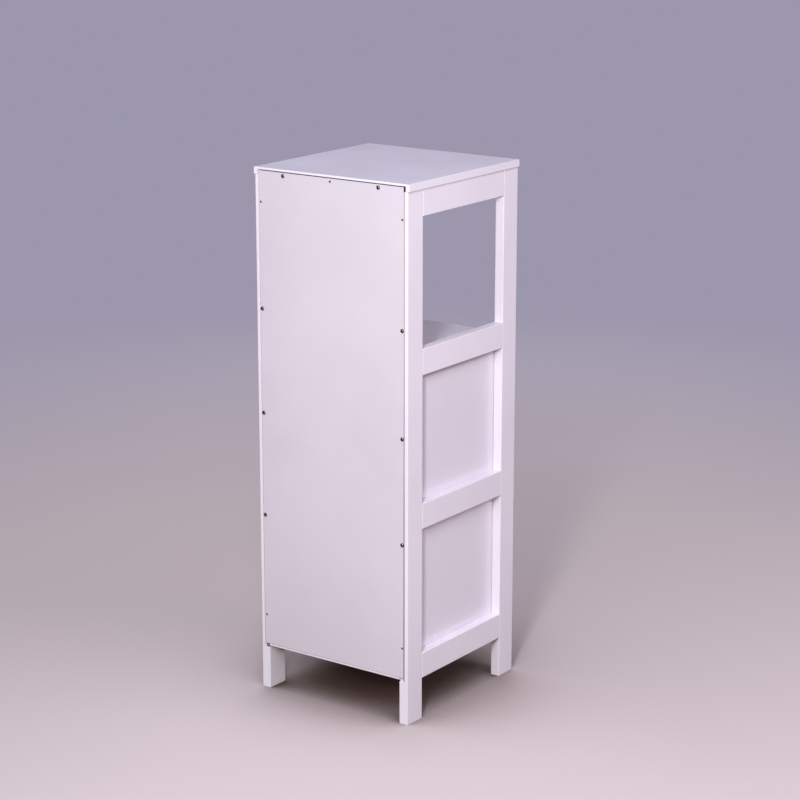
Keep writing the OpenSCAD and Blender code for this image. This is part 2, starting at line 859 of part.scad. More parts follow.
module knob_screw() {
    color(steel) translate([knob_x, door_back, knob_z]) rotate([-90, 0, 0]) difference() {
        union() {
            translate([0, 0, -door_t - knob_thread_l]) cylinder(d = knob_screw_d, h = door_t + knob_thread_l);
            cylinder(d1 = knob_head_d, d2 = knob_head_d * 0.7, h = knob_head_h);
        }
        translate([0, 0, knob_head_h]) cross_recess(knob_head_d * 0.5, 1, knob_head_h * 0.6);
    }
}

// Magnetic catch

module catch_place() {
    translate([catch_x, catch_y0, strike_z]) children();
}

module catch_housing() {
    stack = 2 * pole_t + magnet_t + 2 * fit;
    body_l = catch_l - 2 * catch_ear_l;
    top = shelf_z - strike_z;
    corner_r = 3;
    color(plastic) catch_place() difference() {
        union() {
            translate([-body_l / 2, 0, top - catch_h]) cube([body_l, catch_d, catch_h]);
            translate([-catch_l / 2, 0, top - catch_ear_t])
                linear_extrude(catch_ear_t) eased(catch_l, catch_d, corner_r);
        }
        translate([-pole_w / 2 - fit, -over, -stack / 2]) cube([pole_w + 2 * fit, pole_d + over, stack]);
        for (s = [-1, 1])
            translate([s * catch_screw_x, catch_d / 2, top - catch_ear_t])
                mirror([0, 0, 1]) hole(screw_d + 4 * fit, catch_ear_t + over);
    }
}

module catch_magnet() {
    color(ferrite) catch_place()
        translate([-pole_w / 2, 0, -magnet_t / 2]) cube([pole_w, pole_d - fit, magnet_t]);
}

module catch_pole_plates() {
    color(steel) catch_place() for (z = [-magnet_t / 2 - pole_t, magnet_t / 2])
        translate([-pole_w / 2, -pole_out, z]) cube([pole_w, pole_d + pole_out - fit, pole_t]);
}

module catch_screws() {
    color(steel) for (s = [-1, 1])
        translate([catch_x + s * catch_screw_x, catch_screw_y, shelf_z - catch_ear_t])
            mirror([0, 0, 1]) pan_screw(pan_d, pan_h, catch_screw_l);
}

module strike_plate() {
    color(steel) translate([catch_x, 0, strike_z]) difference() {
        translate([-strike_w / 2, strike_y, -strike_h / 2]) rotate([90, 0, 0])
            linear_extrude(strike_t) eased(strike_w, strike_h, strike_r);
        translate([0, strike_y, 0]) rotate([-90, 0, 0]) flat_screw_hole(strike_screw_l);
    }
}

module strike_screw() {
    color(steel) translate([catch_x, strike_y, strike_z]) rotate([-90, 0, 0])
        flat_screw(strike_screw_l);
}

// Cam fittings and dowels of the three boards

module board_cam_locks(z) {
    color(zinc) both_sides() board_cam_place(z) cam_lock(board_t / 2);
}
module board_cam_bolts(z) {
    color(steel) both_sides() at_board_joint(bolt_ys, z) cam_bolt();
}
module board_dowels(z) {
    color(beech) both_sides() at_board_joint(dowel_ys, z) dowel(dowel_d, -dowel_short, dowel_long);
}

// Left front stile, which carries the hinges as well
module left_front_stile() {
    color(white) difference() {
        front_stile();
        leaf_screw_holes(-in_x + leaf_t, 90);
    }
}

top_board();
fixed_shelf();
bottom_board();
adjustable_shelf();
back_panel();

left_front_stile();
color(white) back_stile();  // left_back_stile
color(white) top_rail();  // left_top_rail
color(white) board_rail(UPPER, shelf_z);  // left_upper_rail
color(white) lower_rail();  // left_lower_rail
color(white) board_rail(BOTTOM, bottom_z);  // left_bottom_rail
color(white) infill_panel();  // left_infill_panel

color(white) mirror([1, 0, 0]) front_stile();  // right_front_stile
color(white) mirror([1, 0, 0]) back_stile();  // right_back_stile
color(white) mirror([1, 0, 0]) top_rail();  // right_top_rail
color(white) mirror([1, 0, 0]) board_rail(UPPER, shelf_z);  // right_upper_rail
color(white) mirror([1, 0, 0]) lower_rail();  // right_lower_rail
color(white) mirror([1, 0, 0]) board_rail(BOTTOM, bottom_z);  // right_bottom_rail
color(white) mirror([1, 0, 0]) infill_panel();  // right_infill_panel

color(beech) frame_dowels();  // left_frame_dowels
color(beech) mirror([1, 0, 0]) frame_dowels();  // right_frame_dowels

color(zinc) both_sides() top_cam_place() cam_lock(board_t / 2);  // top_cam_locks
board_cam_locks(shelf_z);  // shelf_cam_locks
board_cam_locks(bottom_z);  // bottom_cam_locks
color(steel) both_sides() at_top_joint(bolt_ys) cam_bolt();  // top_cam_bolts
board_cam_bolts(shelf_z);  // shelf_cam_bolts
board_cam_bolts(bottom_z);  // bottom_cam_bolts
color(beech) both_sides() at_top_joint(dowel_ys) dowel(dowel_d, -dowel_short, dowel_long);  // top_dowels
board_dowels(shelf_z);  // shelf_dowels
board_dowels(bottom_z);  // bottom_dowels

back_panel_screws();
shelf_pins();

door_hinge_stile();
door_latch_stile();
door_top_rail();
door_bottom_rail();
door_panel();

hinge_frame_leaf(upper_hinge_z);  // upper_hinge_frame_leaf
hinge_door_leaf(upper_hinge_z);  // upper_hinge_door_leaf
hinge_pin(upper_hinge_z);  // upper_hinge_pin
hinge_frame_leaf(lower_hinge_z);  // lower_hinge_frame_leaf
hinge_door_leaf(lower_hinge_z);  // lower_hinge_door_leaf
hinge_pin(lower_hinge_z);  // lower_hinge_pin
hinge_frame_screws();
hinge_door_screws();

door_knob();
knob_screw();

catch_housing();
catch_magnet();
catch_pole_plates();
catch_screws();
strike_plate();
strike_screw();
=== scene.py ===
# %% [markdown]
# # A slim white bathroom cabinet, seen from behind
# This lesson dresses a finished cabinet model. The boards, joints and fittings come from a packed
# construction model, which is loaded as a fixed frame. Each step gives one finish or one small
# part. Lengths are in metres. The cabinet stands on the floor at height 0, its front looks along
# -Y, its back along +Y, and the photographed side along -X.

# %% Load the fixed frame
import json
import math
import random

import bpy
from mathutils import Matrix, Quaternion, Vector


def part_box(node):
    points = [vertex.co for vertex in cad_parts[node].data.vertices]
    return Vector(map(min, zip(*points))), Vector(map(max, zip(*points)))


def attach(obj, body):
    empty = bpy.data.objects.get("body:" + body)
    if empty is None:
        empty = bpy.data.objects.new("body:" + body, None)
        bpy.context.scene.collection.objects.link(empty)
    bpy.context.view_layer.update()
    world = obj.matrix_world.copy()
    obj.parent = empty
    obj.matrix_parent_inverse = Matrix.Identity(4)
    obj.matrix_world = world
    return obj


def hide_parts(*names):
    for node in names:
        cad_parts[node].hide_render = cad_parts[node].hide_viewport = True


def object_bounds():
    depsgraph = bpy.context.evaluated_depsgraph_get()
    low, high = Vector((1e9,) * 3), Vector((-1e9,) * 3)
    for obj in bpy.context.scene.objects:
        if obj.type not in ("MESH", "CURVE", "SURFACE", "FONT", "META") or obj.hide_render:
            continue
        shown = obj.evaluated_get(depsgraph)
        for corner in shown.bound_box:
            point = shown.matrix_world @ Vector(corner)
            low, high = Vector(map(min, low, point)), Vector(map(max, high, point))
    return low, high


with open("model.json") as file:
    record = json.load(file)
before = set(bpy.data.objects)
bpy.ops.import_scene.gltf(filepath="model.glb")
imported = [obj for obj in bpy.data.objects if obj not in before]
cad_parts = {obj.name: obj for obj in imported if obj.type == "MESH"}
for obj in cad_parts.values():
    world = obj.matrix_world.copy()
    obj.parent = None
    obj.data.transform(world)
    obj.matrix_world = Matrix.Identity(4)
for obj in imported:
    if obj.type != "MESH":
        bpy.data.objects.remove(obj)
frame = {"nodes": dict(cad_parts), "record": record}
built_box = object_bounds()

MM = 0.001
nodes = frame["nodes"]
built_size = built_box[1] - built_box[0]
print(len(nodes), "construction pieces, box in mm:", [round(side / MM, 1) for side in built_size])


# %% [markdown]
# ## The camera
# A photograph has a place it was taken from, a point it was aimed at and a lens. The place and the
# aim were found by matching the cabinet's edges. A long lens keeps the uprights nearly parallel,
# as the picture shows them, and the frame has no shift, so that every other view is centred too.

# %% Camera
CAMERA_PLACE = Vector((-2.1765, 3.0103, 1.4549))
CAMERA_AIM = Vector((-0.0035, -0.0173, 0.4756))
LENS_MM = 105.95
SENSOR_MM = 36
FAR_CLIP = 200

bpy.ops.object.camera_add(location=CAMERA_PLACE)
camera = bpy.context.object
camera.rotation_mode = "QUATERNION"
camera.rotation_quaternion = (CAMERA_AIM - CAMERA_PLACE).to_track_quat("-Z", "Y")
camera.data.lens = LENS_MM
camera.data.sensor_width = SENSOR_MM
camera.data.clip_end = FAR_CLIP
bpy.context.scene.camera = camera
bpy.context.scene.view_settings.view_transform = "Standard"
print("camera", round((CAMERA_AIM - CAMERA_PLACE).length, 2), "m from the cabinet")


# %% [markdown]
# ## Small helpers for shader trees
# A material is a tree of nodes. Typing out each node and link hides the idea, so a few short
# helpers add a node, join two sockets and turn a picked screen colour into a linear one.

# %% Colours and nodes
def picked(red, green, blue):
    """A linear colour from the 0 to 255 values that a colour picker shows."""
    # The numbers are those of the sRGB curve, by which screens show colours
    def linear(value):
        share = value / 255
        return share / 12.92 if share <= 0.04045 else ((share + 0.055) / 1.055) ** 2.4
    return (linear(red), linear(green), linear(blue), 1.0)


def add_node(tree, kind, **settings):
    """A new node, with its properties and the defaults of its named sockets set."""
    node = tree.nodes.new(kind)
    for name, value in settings.items():
        if hasattr(node, name):
            setattr(node, name, value)
        else:
            node.inputs[name.replace("_", " ")].default_value = value
    return node


def join(tree, output, target):
    tree.links.new(output, target)


print("a mid grey of 128 is", round(picked(128, 128, 128)[0], 3), "in linear light")


# %% Sums, blends and ranges
def math_node(tree, operation, first, second=None, clamp=False):
    """A Math node. Each input is a socket or a number."""
    node = tree.nodes.new("ShaderNodeMath")
    node.operation = operation
    node.use_clamp = clamp
    for place, value in enumerate((first, second)):
        if value is None:
            continue
        if isinstance(value, (int, float)):
            node.inputs[place].default_value = value
        else:
            tree.links.new(value, node.inputs[place])
    return node.outputs[0]


def blend_colour(tree, share, first, second):
    """A mix of two colours, each a socket or a colour, by a share from 0 to 1."""
    node = tree.nodes.new("ShaderNodeMix")
    node.data_type = "RGBA"
    # On a Mix node for colours, the two colours are inputs 6 and 7, and the result is output 2
    sockets = (node.inputs[0], node.inputs[6], node.inputs[7])
    for socket, value in zip(sockets, (share, first, second)):
        if hasattr(value, "is_output"):
            tree.links.new(value, socket)
        else:
            socket.default_value = value
    return node.outputs[2]


def stretch(tree, value, low, high, to_low=0.0, to_high=1.0):
    """A smooth, clamped Map Range node from low..high to to_low..to_high."""
    node = tree.nodes.new("ShaderNodeMapRange")
    node.interpolation_type = "SMOOTHSTEP"
    tree.links.new(value, node.inputs["Value"])
    ends = (("From Min", low), ("From Max", high), ("To Min", to_low), ("To Max", to_high))
    for name, number in ends:
        node.inputs[name].default_value = number
    return node.outputs["Result"]


print("helpers for sums, blends and ranges ready")


# %% Patterns and places
# Nearly all values of a noise lie in this range
NOISE_RANGE = (0.3, 0.7)


def noise(tree, vector, feature, detail=2.0, roughness=0.5):
    """A Noise Texture whose features are about so many metres across."""
    node = tree.nodes.new("ShaderNodeTexNoise")
    node.inputs["Scale"].default_value = 1 / feature
    node.inputs["Detail"].default_value = detail
    node.inputs["Roughness"].default_value = roughness
    tree.links.new(vector, node.inputs["Vector"])
    return node.outputs["Fac"]


def object_place(tree):
    """The point on the piece, in metres in the cabinet's own frame."""
    return tree.nodes.new("ShaderNodeTexCoord").outputs["Object"]


print("a noise is stretched from", NOISE_RANGE, "to the full range")


# %% [markdown]
# ## The studio
# The backdrop is a pale lilac grey and the floor a pale warm one, so the white cabinet stands out
# from both. Near the cabinet the floor is a matt surface that takes the shadow, and further out it
# fades into the backdrop, so there is no horizon line from any side. Between the legs and round
# the cabinet's foot, Ambient Occlusion darkens the floor's colour: a painted shade, where little
# light reaches in.

# %% Floor
FLOOR_RADIUS = 40.0
FLOOR_SIDES = 96

bpy.ops.object.select_all(action="DESELECT")
bpy.ops.mesh.primitive_circle_add(vertices=FLOOR_SIDES, radius=FLOOR_RADIUS, fill_type="NGON")
floor = bpy.context.object
floor.name = "studio_floor"
print("floor", round(2 * FLOOR_RADIUS), "m across")

# %% Floor paint and backdrop
BACKDROP = picked(156, 151, 172)
FLOOR = picked(203, 190, 188)
# Painted shade: the floor's colour near and under the cabinet
FLOOR_SHADE = picked(78, 62, 57)
# What the floor throws back onto the cabinet, which is darker than what the camera sees of it
FLOOR_BOUNCE = picked(128, 108, 96)
SHADE_REACH = 0.35
SHADE_LOOKS = 12
SHADE_START = 0.95
SHADE_FULL = 0.15
FADE_START = 0.9
FADE_END = 2.9

floor_paint = bpy.data.materials.new("studio_floor")
floor_paint.use_nodes = True
tree = floor_paint.node_tree
tree.nodes.clear()
reach = add_node(tree, "ShaderNodeVectorMath", operation="LENGTH")
join(tree, object_place(tree), reach.inputs[0])
far = stretch(tree, reach.outputs["Value"], FADE_START, FADE_END)
light_path = tree.nodes.new("ShaderNodeLightPath")
seen = math_node(tree, "MULTIPLY", far, light_path.outputs["Is Camera Ray"])
# Painted shade: Ambient Occlusion darkens the floor where the cabinet is near
roofed = add_node(tree, "ShaderNodeAmbientOcclusion", samples=SHADE_LOOKS, Distance=SHADE_REACH)
shaded = stretch(tree, roofed.outputs["AO"], SHADE_START, SHADE_FULL)
visible_floor = blend_colour(tree, shaded, FLOOR, FLOOR_SHADE)
matt = tree.nodes.new("ShaderNodeBsdfDiffuse")
join(tree, blend_colour(tree, light_path.outputs["Is Camera Ray"], FLOOR_BOUNCE, visible_floor),
     matt.inputs["Color"])
glow = add_node(tree, "ShaderNodeEmission", Color=BACKDROP)
mixed = tree.nodes.new("ShaderNodeMixShader")
join(tree, seen, mixed.inputs[0])
join(tree, matt.outputs[0], mixed.inputs[1])
join(tree, glow.outputs[0], mixed.inputs[2])
output = tree.nodes.new("ShaderNodeOutputMaterial")
join(tree, mixed.outputs[0], output.inputs["Surface"])
floor.data.materials.append(floor_paint)
print("floor fades into the backdrop between", FADE_START, "and", FADE_END, "m")

# %% [markdown]
# A room sends soft light from all over. The world shader gives it as a dome, by direction alone:
# black at the horizon, brighter overhead, and much brighter on the camera's side. The camera and
# mirroring surfaces see the plain backdrop instead, which Light Path tells apart, so the metal has
# a plain room to reflect.

# %% World
SKY_NEAR = (1.27, 1.27, 1.54, 1.0)
SKY_FAR = (0.12, 0.12, 0.14, 1.0)
HORIZON = (0.0, 0.0, 0.0, 1.0)
DOME_RISE = (0.1, 0.9)
DOME_TURN = (-0.3, 0.3)

world = bpy.data.worlds.new("studio_sky")
bpy.context.scene.world = world
world.use_nodes = True
tree = world.node_tree
tree.nodes.clear()
direction = tree.nodes.new("ShaderNodeSeparateXYZ")
join(tree, tree.nodes.new("ShaderNodeTexCoord").outputs["Generated"], direction.inputs[0])
height = stretch(tree, direction.outputs["Z"], *DOME_RISE)
near_side = stretch(tree, direction.outputs["Y"], *DOME_TURN)
dome = blend_colour(tree, near_side, SKY_FAR, SKY_NEAR)
light_path = tree.nodes.new("ShaderNodeLightPath")
shiny = math_node(tree, "MAXIMUM", light_path.outputs["Is Glossy Ray"],
                  light_path.outputs["Is Transmission Ray"])
shown = math_node(tree, "MAXIMUM", light_path.outputs["Is Camera Ray"], shiny)
sky = tree.nodes.new("ShaderNodeBackground")
join(tree, blend_colour(tree, height, HORIZON, dome), sky.inputs["Color"])
screen = add_node(tree, "ShaderNodeBackground", Color=BACKDROP)
mixed = tree.nodes.new("ShaderNodeMixShader")
join(tree, shown, mixed.inputs[0])
join(tree, sky.outputs[0], mixed.inputs[1])
join(tree, screen.outputs[0], mixed.inputs[2])
output = tree.nodes.new("ShaderNodeOutputWorld")
join(tree, mixed.outputs[0], output.inputs["Surface"])
print("the sky overhead is", SKY_NEAR[:3], "on the camera's side and", SKY_FAR[:3], "beyond")


# %% [markdown]
# ## Soft lamps
# In the photograph the back lip is nearly white, the side is a step darker and the top is the
# darkest, and every face grows darker towards the floor. The stile's step throws a narrow shade on
# the sheets beside it, so the main light is slim and comes along the side from behind: one lamp
# stands far off and one near. Two wide soft boxes fill the back and the side. A fifth, too low to
# shine on the shelf of the open bay, lights the front from so far off that its pool of light on the
# floor stays out of the picture.

# %% Lamps
def soft_lamp(name, place, aim, width, height, watts, colour):
    """A soft box that lights the cabinet and stays out of every picture."""
    bpy.ops.object.light_add(type="AREA", location=place)
    lamp = bpy.context.object
    lamp.name = name
    lamp.rotation_mode = "QUATERNION"
    lamp.rotation_quaternion = (Vector(aim) - Vector(place)).to_track_quat("-Z", "Y")
    lamp.data.shape = "RECTANGLE"
    lamp.data.size = width
    lamp.data.size_y = height
    lamp.data.energy = watts
    lamp.data.color = colour
    lamp.visible_camera = False


LAMPS = [
    # name, place, the point it is aimed at, width, height, watts, colour
    ("main_lamp", (-1.15, 2.1, 1.3), (0, 0, 0.5), 0.25, 0.5, 27, (0.94, 1.0, 0.92)),
    ("near_lamp", (-0.68, 1.2, 1.25), (0, 0, 0.7), 0.14, 0.4, 7.9, (0.91, 0.91, 1.0)),
    ("back_lamp", (-0.3, 2.2, 0.9), (0, 0, 0.5), 1.2, 0.6, 6.4, (1.0, 0.8, 0.9)),
    ("side_lamp", (-1.9, -0.3, 1.0), (0, 0, 0.5), 1.2, 0.6, 13.4, (0.95, 0.87, 1.0)),
    ("front_lamp", (2.2, -3.4, 0.4), (0, 0, 0.4), 2.3, 0.5, 75, (1.0, 0.98, 1.0)),
]
for settings in LAMPS:
    soft_lamp(*settings)
print(len(LAMPS), "soft lamps")


# %% [markdown]
# ## Shared surface effects
# Seven effects turn up in more than one finish, so each is a node group with named sockets: the
# pebbled skin of sprayed lacquer, slow patches of tone, rounded arrises, a veil of settled dust,
# painted shade in joints, strips of painted shade under steps and raw fibre. A group only puts out
# masks, heights and normals. The shader stays outside.

# %% A helper for node groups
def new_group(name, inputs, outputs):
    """A shader node group with float sockets. Returns its tree and its input and output nodes."""
    tree = bpy.data.node_groups.new(name, "ShaderNodeTree")
    for label, value in inputs.items():
        socket = tree.interface.new_socket(label, in_out="INPUT", socket_type="NodeSocketFloat")
        socket.default_value = value
    for label in outputs:
        tree.interface.new_socket(label, in_out="OUTPUT", socket_type="NodeSocketFloat")
    return tree, tree.nodes.new("NodeGroupInput"), tree.nodes.new("NodeGroupOutput")


def use_group(tree, group, **values):
    """The group placed in a material, with its float inputs set."""
    node = tree.nodes.new("ShaderNodeGroup")
    node.node_tree = group
    for name, value in values.items():
        node.inputs[name.replace("_", " ")].default_value = value
    return node.outputs


def scaled_noise(tree, group_in, label, vector, detail=2.0, roughness=0.5):
    """A Noise Texture whose feature size in metres is one of the group's inputs."""
    node = tree.nodes.new("ShaderNodeTexNoise")
    node.inputs["Detail"].default_value = detail
    node.inputs["Roughness"].default_value = roughness
    join(tree, math_node(tree, "DIVIDE", 1.0, group_in.outputs[label]), node.inputs["Scale"])
    join(tree, vector, node.inputs["Vector"])
    return node.outputs["Fac"]


print("helpers for node groups ready")


# %% [markdown]
# Sprayed lacquer dries with a fine pebbled skin. Two noises of different size, added as a height,
# break up reflections the way the real skin does.

# %% Pebbled skin
PEBBLE = 0.0022
GRIT = 0.0005
GRIT_SHARE = 0.3
GLOSS_PATCH = 0.05
GLOSS_SWING = 0.05

pebbled_skin, group_in, group_out = new_group(
    "pebbled_skin", {"Pebble": PEBBLE, "Grit": GRIT}, ["Height", "Gloss change"])
tree = pebbled_skin
place = object_place(tree)
pebbles = scaled_noise(tree, group_in, "Pebble", place)
grit = scaled_noise(tree, group_in, "Grit", place, detail=1.0)
join(tree, math_node(tree, "ADD", pebbles, math_node(tree, "MULTIPLY", grit, GRIT_SHARE)),
     group_out.inputs["Height"])
clouds = noise(tree, place, GLOSS_PATCH, detail=3.0)
join(tree, stretch(tree, clouds, *NOISE_RANGE, -GLOSS_SWING, GLOSS_SWING),
     group_out.inputs["Gloss change"])
print("group", tree.name)

# %% [markdown]
# No large painted face has one tone. Slow patches, a few centimetres to half a metre wide, blend
# two paints that hardly differ.

# %% Slow tone
TONE_PATCH = 0.22

slow_tone, group_in, group_out = new_group("slow_tone", {"Patch": TONE_PATCH}, ["Tone"])
tree = slow_tone
place = object_place(tree)
patches = scaled_noise(tree, group_in, "Patch", place, detail=3.0, roughness=0.55)
join(tree, stretch(tree, patches, *NOISE_RANGE), group_out.inputs["Tone"])
print("group", tree.name)

# %% [markdown]
# Every arris is rounded off by a millimetre or so. The Bevel node gives the normal of such a
# softened shape. The shader takes it, so a corner that is turned to the lamp shows as a thin
# bright line. Where it turns away from the true normal there is an edge, and there the paint is
# made lighter: a painted highlight.

# %% Soft arris
ROUNDING = 1.5 * MM
ROUNDING_LOOKS = 4
# Cosines of the turn between the true and the soft normal, where an edge starts and is full
EDGE_TURN = (0.99, 0.80)

soft_arris, group_in, group_out = new_group("soft_arris", {"Width": ROUNDING}, ["Edge"])
tree = soft_arris
tree.interface.new_socket("Soft normal", in_out="OUTPUT", socket_type="NodeSocketVector")
softened = add_node(tree, "ShaderNodeBevel", samples=ROUNDING_LOOKS)
join(tree, group_in.outputs["Width"], softened.inputs["Radius"])
true_normal = tree.nodes.new("ShaderNodeNewGeometry").outputs["Normal"]
turned = add_node(tree, "ShaderNodeVectorMath", operation="DOT_PRODUCT")
join(tree, softened.outputs[0], turned.inputs[0])
join(tree, true_normal, turned.inputs[1])
join(tree, stretch(tree, turned.outputs["Value"], *EDGE_TURN), group_out.inputs["Edge"])
join(tree, softened.outputs[0], group_out.inputs["Soft normal"])
print("group", tree.name)

# %% [markdown]
# Dust lies only where a face looks up. The face's own direction gives that share. A fine noise
# makes the specks and a slow one the veil between them.

# %% Settled dust
DUST_AMOUNT = 0.22
DUST_LEVEL = (0.6, 1.0)
SPECK = 0.0016
SPECK_RANGE = (0.55, 0.75)
VEIL = 0.09
VEIL_RANGE = (0.35, 0.75)

settled_dust, group_in, group_out = new_group("settled_dust", {"Amount": DUST_AMOUNT}, ["Dust"])
tree = settled_dust
place = object_place(tree)
facing = tree.nodes.new("ShaderNodeSeparateXYZ")
join(tree, tree.nodes.new("ShaderNodeNewGeometry").outputs["Normal"], facing.inputs[0])
upward = stretch(tree, facing.outputs["Z"], *DUST_LEVEL)
specks = stretch(tree, noise(tree, place, SPECK, detail=2.0), *SPECK_RANGE)
veil = stretch(tree, noise(tree, place, VEIL, detail=3.0), *VEIL_RANGE)
fallen = math_node(tree, "MULTIPLY", upward, math_node(tree, "ADD", specks, veil))
join(tree, math_node(tree, "MULTIPLY", fallen, group_in.outputs["Amount"], clamp=True),
     group_out.inputs["Dust"])
print("group", tree.name)

# %% [markdown]
# In the open joints between pieces and in inner corners the paint is darkened: a painted shade.
# Ambient Occlusion over a short reach finds them: it is dark only where another face is that near.

# %% Joint shade
JOINT_REACH = 0.003
JOINT_LOOKS = 6
JOINT_RANGE = (0.75, 0.25)

joint_shade, group_in, group_out = new_group("joint_shade", {"Reach": JOINT_REACH}, ["Joint"])
tree = joint_shade
nearness = add_node(tree, "ShaderNodeAmbientOcclusion", samples=JOINT_LOOKS)
join(tree, group_in.outputs["Reach"], nearness.inputs["Distance"])
join(tree, stretch(tree, nearness.outputs["AO"], *JOINT_RANGE), group_out.inputs["Joint"])
print("group", tree.name)

# %% [markdown]
# Right under a rail or the top's edge the paint is darkened: a painted shade, for the little light
# that falls in there. Ambient Occlusion takes a direction to look about. One look leans up and
# one leans down, and only under a step is the upper one the darker of the two.

# %% Painted shade under steps
STEP_REACH = 0.004
LEAN = 0.9
SHELTER_LOOKS = 8
SHELTER_RANGE = (0.06, 0.48)

sheltered, group_in, group_out = new_group(
    "sheltered", {"Reach": STEP_REACH, "Lean": LEAN}, ["Shelter"])
tree = sheltered
facing = tree.nodes.new("ShaderNodeNewGeometry").outputs["Normal"]
parts = tree.nodes.new("ShaderNodeSeparateXYZ")
join(tree, facing, parts.inputs[0])
upright = math_node(tree, "SUBTRACT", 1.0, math_node(tree, "ABSOLUTE", parts.outputs["Z"]))
lean = math_node(tree, "MULTIPLY", upright, group_in.outputs["Lean"])
tilt = tree.nodes.new("ShaderNodeCombineXYZ")
join(tree, lean, tilt.inputs["Z"])
looks = []
for operation in ("ADD", "SUBTRACT"):
    leaning = add_node(tree, "ShaderNodeVectorMath", operation=operation)
    join(tree, facing, leaning.inputs[0])
    join(tree, tilt.outputs[0], leaning.inputs[1])
    unit = add_node(tree, "ShaderNodeVectorMath", operation="NORMALIZE")
    join(tree, leaning.outputs[0], unit.inputs[0])
    look = add_node(tree, "ShaderNodeAmbientOcclusion", samples=SHELTER_LOOKS)
    join(tree, unit.outputs[0], look.inputs["Normal"])
    join(tree, group_in.outputs["Reach"], look.inputs["Distance"])
    looks.append(look.outputs["AO"])
up, down = looks
join(tree, stretch(tree, math_node(tree, "SUBTRACT", down, up), *SHELTER_RANGE),
     group_out.inputs["Shelter"])
print("group", tree.name)

# %% [markdown]
# Where a cutter has run through the paint, the board shows raw pressed fibre: short brown flecks.

# %% Raw fibre
FLECK = 0.0012

raw_fibre, group_in, group_out = new_group("raw_fibre", {"Fleck": FLECK}, ["Fleck shade"])
tree = raw_fibre
flecks = scaled_noise(tree, group_in, "Fleck", object_place(tree), detail=4.0, roughness=0.7)
join(tree, stretch(tree, flecks, *NOISE_RANGE), group_out.inputs["Fleck shade"])
print("group", tree.name)


# %% [markdown]
# ## White satin lacquer on board
# Every frame piece and board is fibreboard sprayed with white satin lacquer that has a faint
# lilac cast. One flat white would look like plastic, so the colour is built in steps: slow tone
# and dust as on the real paint, then a painted highlight on the arrises, painted shade in the
# joints and painted shade under the steps.

# %% Material start
def new_material(name):
    """A material with a Principled shader. Returns the material, its tree and the shader."""
    material = bpy.data.materials.new(name)
    material.use_nodes = True
    tree = material.node_tree
    return material, tree, tree.nodes["Principled BSDF"]


def bumped(tree, height, distance, normal=None):
    """A Bump node's normal, from a height in shares of a distance in metres."""
    bump = tree.nodes.new("ShaderNodeBump")
    bump.inputs["Distance"].default_value = distance
    join(tree, height, bump.inputs["Height"])
    if normal:
        join(tree, normal, bump.inputs["Normal"])
    return bump.outputs["Normal"]


print("a material starts from the Principled shader")


# %% Tones of paint and of raw board
PAINT = picked(240, 233, 242)
PAINT_DEEP = picked(234, 227, 237)
# A lighter paint for the arrises, a painted highlight
PAINT_HIGHLIGHT = picked(247, 243, 249)
DUST = picked(214, 208, 210)
# The colour of the painted shade in joints, in corners and under steps
JOINT_SHADE = picked(118, 108, 121)
FIBRE = (picked(42, 31, 29), picked(92, 69, 61))
FIBRE_DUSTY = (picked(88, 66, 75), picked(172, 146, 156))
# Near black board, the painted shade deep in holes and joints
FIBRE_PAINTED_SHADE = picked(22, 16, 17)
print("paint in linear light:", [round(value, 2) for value in PAINT[:3]])


# %% The build-up of the lacquer
SATIN = 0.42
FIBRE_DULLER = 0.45
SKIN_HEIGHT = 0.00006
LACQUER_IOR = 1.46
JOINT_DEPTH = 0.15
# Settings of a strip of painted shade under a step, and its depth
UNDER_STEP = ({"Reach": STEP_REACH}, 0.22)


def lacquer(name, paint, deep, edge, bare=None, fibre_tones=FIBRE, rounding=ROUNDING,
            reach=JOINT_REACH, depth=JOINT_DEPTH, strips=(UNDER_STEP,)):
    """Sprayed lacquer. bare takes the tree and gives two masks, of the places that show raw board
    in the dark and pale fibre tones, and of the holes among them, whose board is painted near
    black as painted shade. reach and depth say how far from a joint or corner the paint is
    darkened as painted shade, and how much. Each strip of painted shade under a step has its own
    settings and depth."""
    material, tree, shader = new_material(name)
    tone = use_group(tree, slow_tone)["Tone"]
    arris = use_group(tree, soft_arris, Width=rounding)
    dust = use_group(tree, settled_dust, Amount=DUST_AMOUNT)["Dust"]
    skin = use_group(tree, pebbled_skin)
    colour = blend_colour(tree, tone, paint, deep)
    # Painted highlight: the arrises get the lighter paint
    colour = blend_colour(tree, arris["Edge"], colour, edge)
    colour = blend_colour(tree, dust, colour, DUST)
    # Painted shade: the paint is darkened in joints and inner corners
    joint = use_group(tree, joint_shade, Reach=reach)["Joint"]
    colour = blend_colour(tree, math_node(tree, "MULTIPLY", joint, depth), colour, JOINT_SHADE)
    # Painted shade in strips under rails and steps
    for settings, strip_depth in strips:
        shelter = use_group(tree, sheltered, **settings)["Shelter"]
        painted_shade = math_node(tree, "MULTIPLY", shelter, strip_depth)
        colour = blend_colour(tree, painted_shade, colour, JOINT_SHADE)
    rough = math_node(tree, "ADD", skin["Gloss change"], SATIN)
    if bare:
        raw, holes = bare(tree)
        fleck = use_group(tree, raw_fibre)["Fleck shade"]
        fibre = blend_colour(tree, fleck, *fibre_tones)
        # Painted shade: raw board in joints and in holes is darkened to near black
        fibre = blend_colour(tree, math_node(tree, "MAXIMUM", joint, holes), fibre, FIBRE_PAINTED_SHADE)
        colour = blend_colour(tree, raw, colour, fibre)
        rough = math_node(tree, "ADD", rough, math_node(tree, "MULTIPLY", raw, FIBRE_DULLER))
    join(tree, colour, shader.inputs["Base Color"])
    join(tree, rough, shader.inputs["Roughness"])
    join(tree, bumped(tree, skin["Height"], SKIN_HEIGHT, arris["Soft normal"]),
         shader.inputs["Normal"])
    shader.inputs["IOR"].default_value = LACQUER_IOR
    return material


print("lacquer ready, roughness about", SATIN)
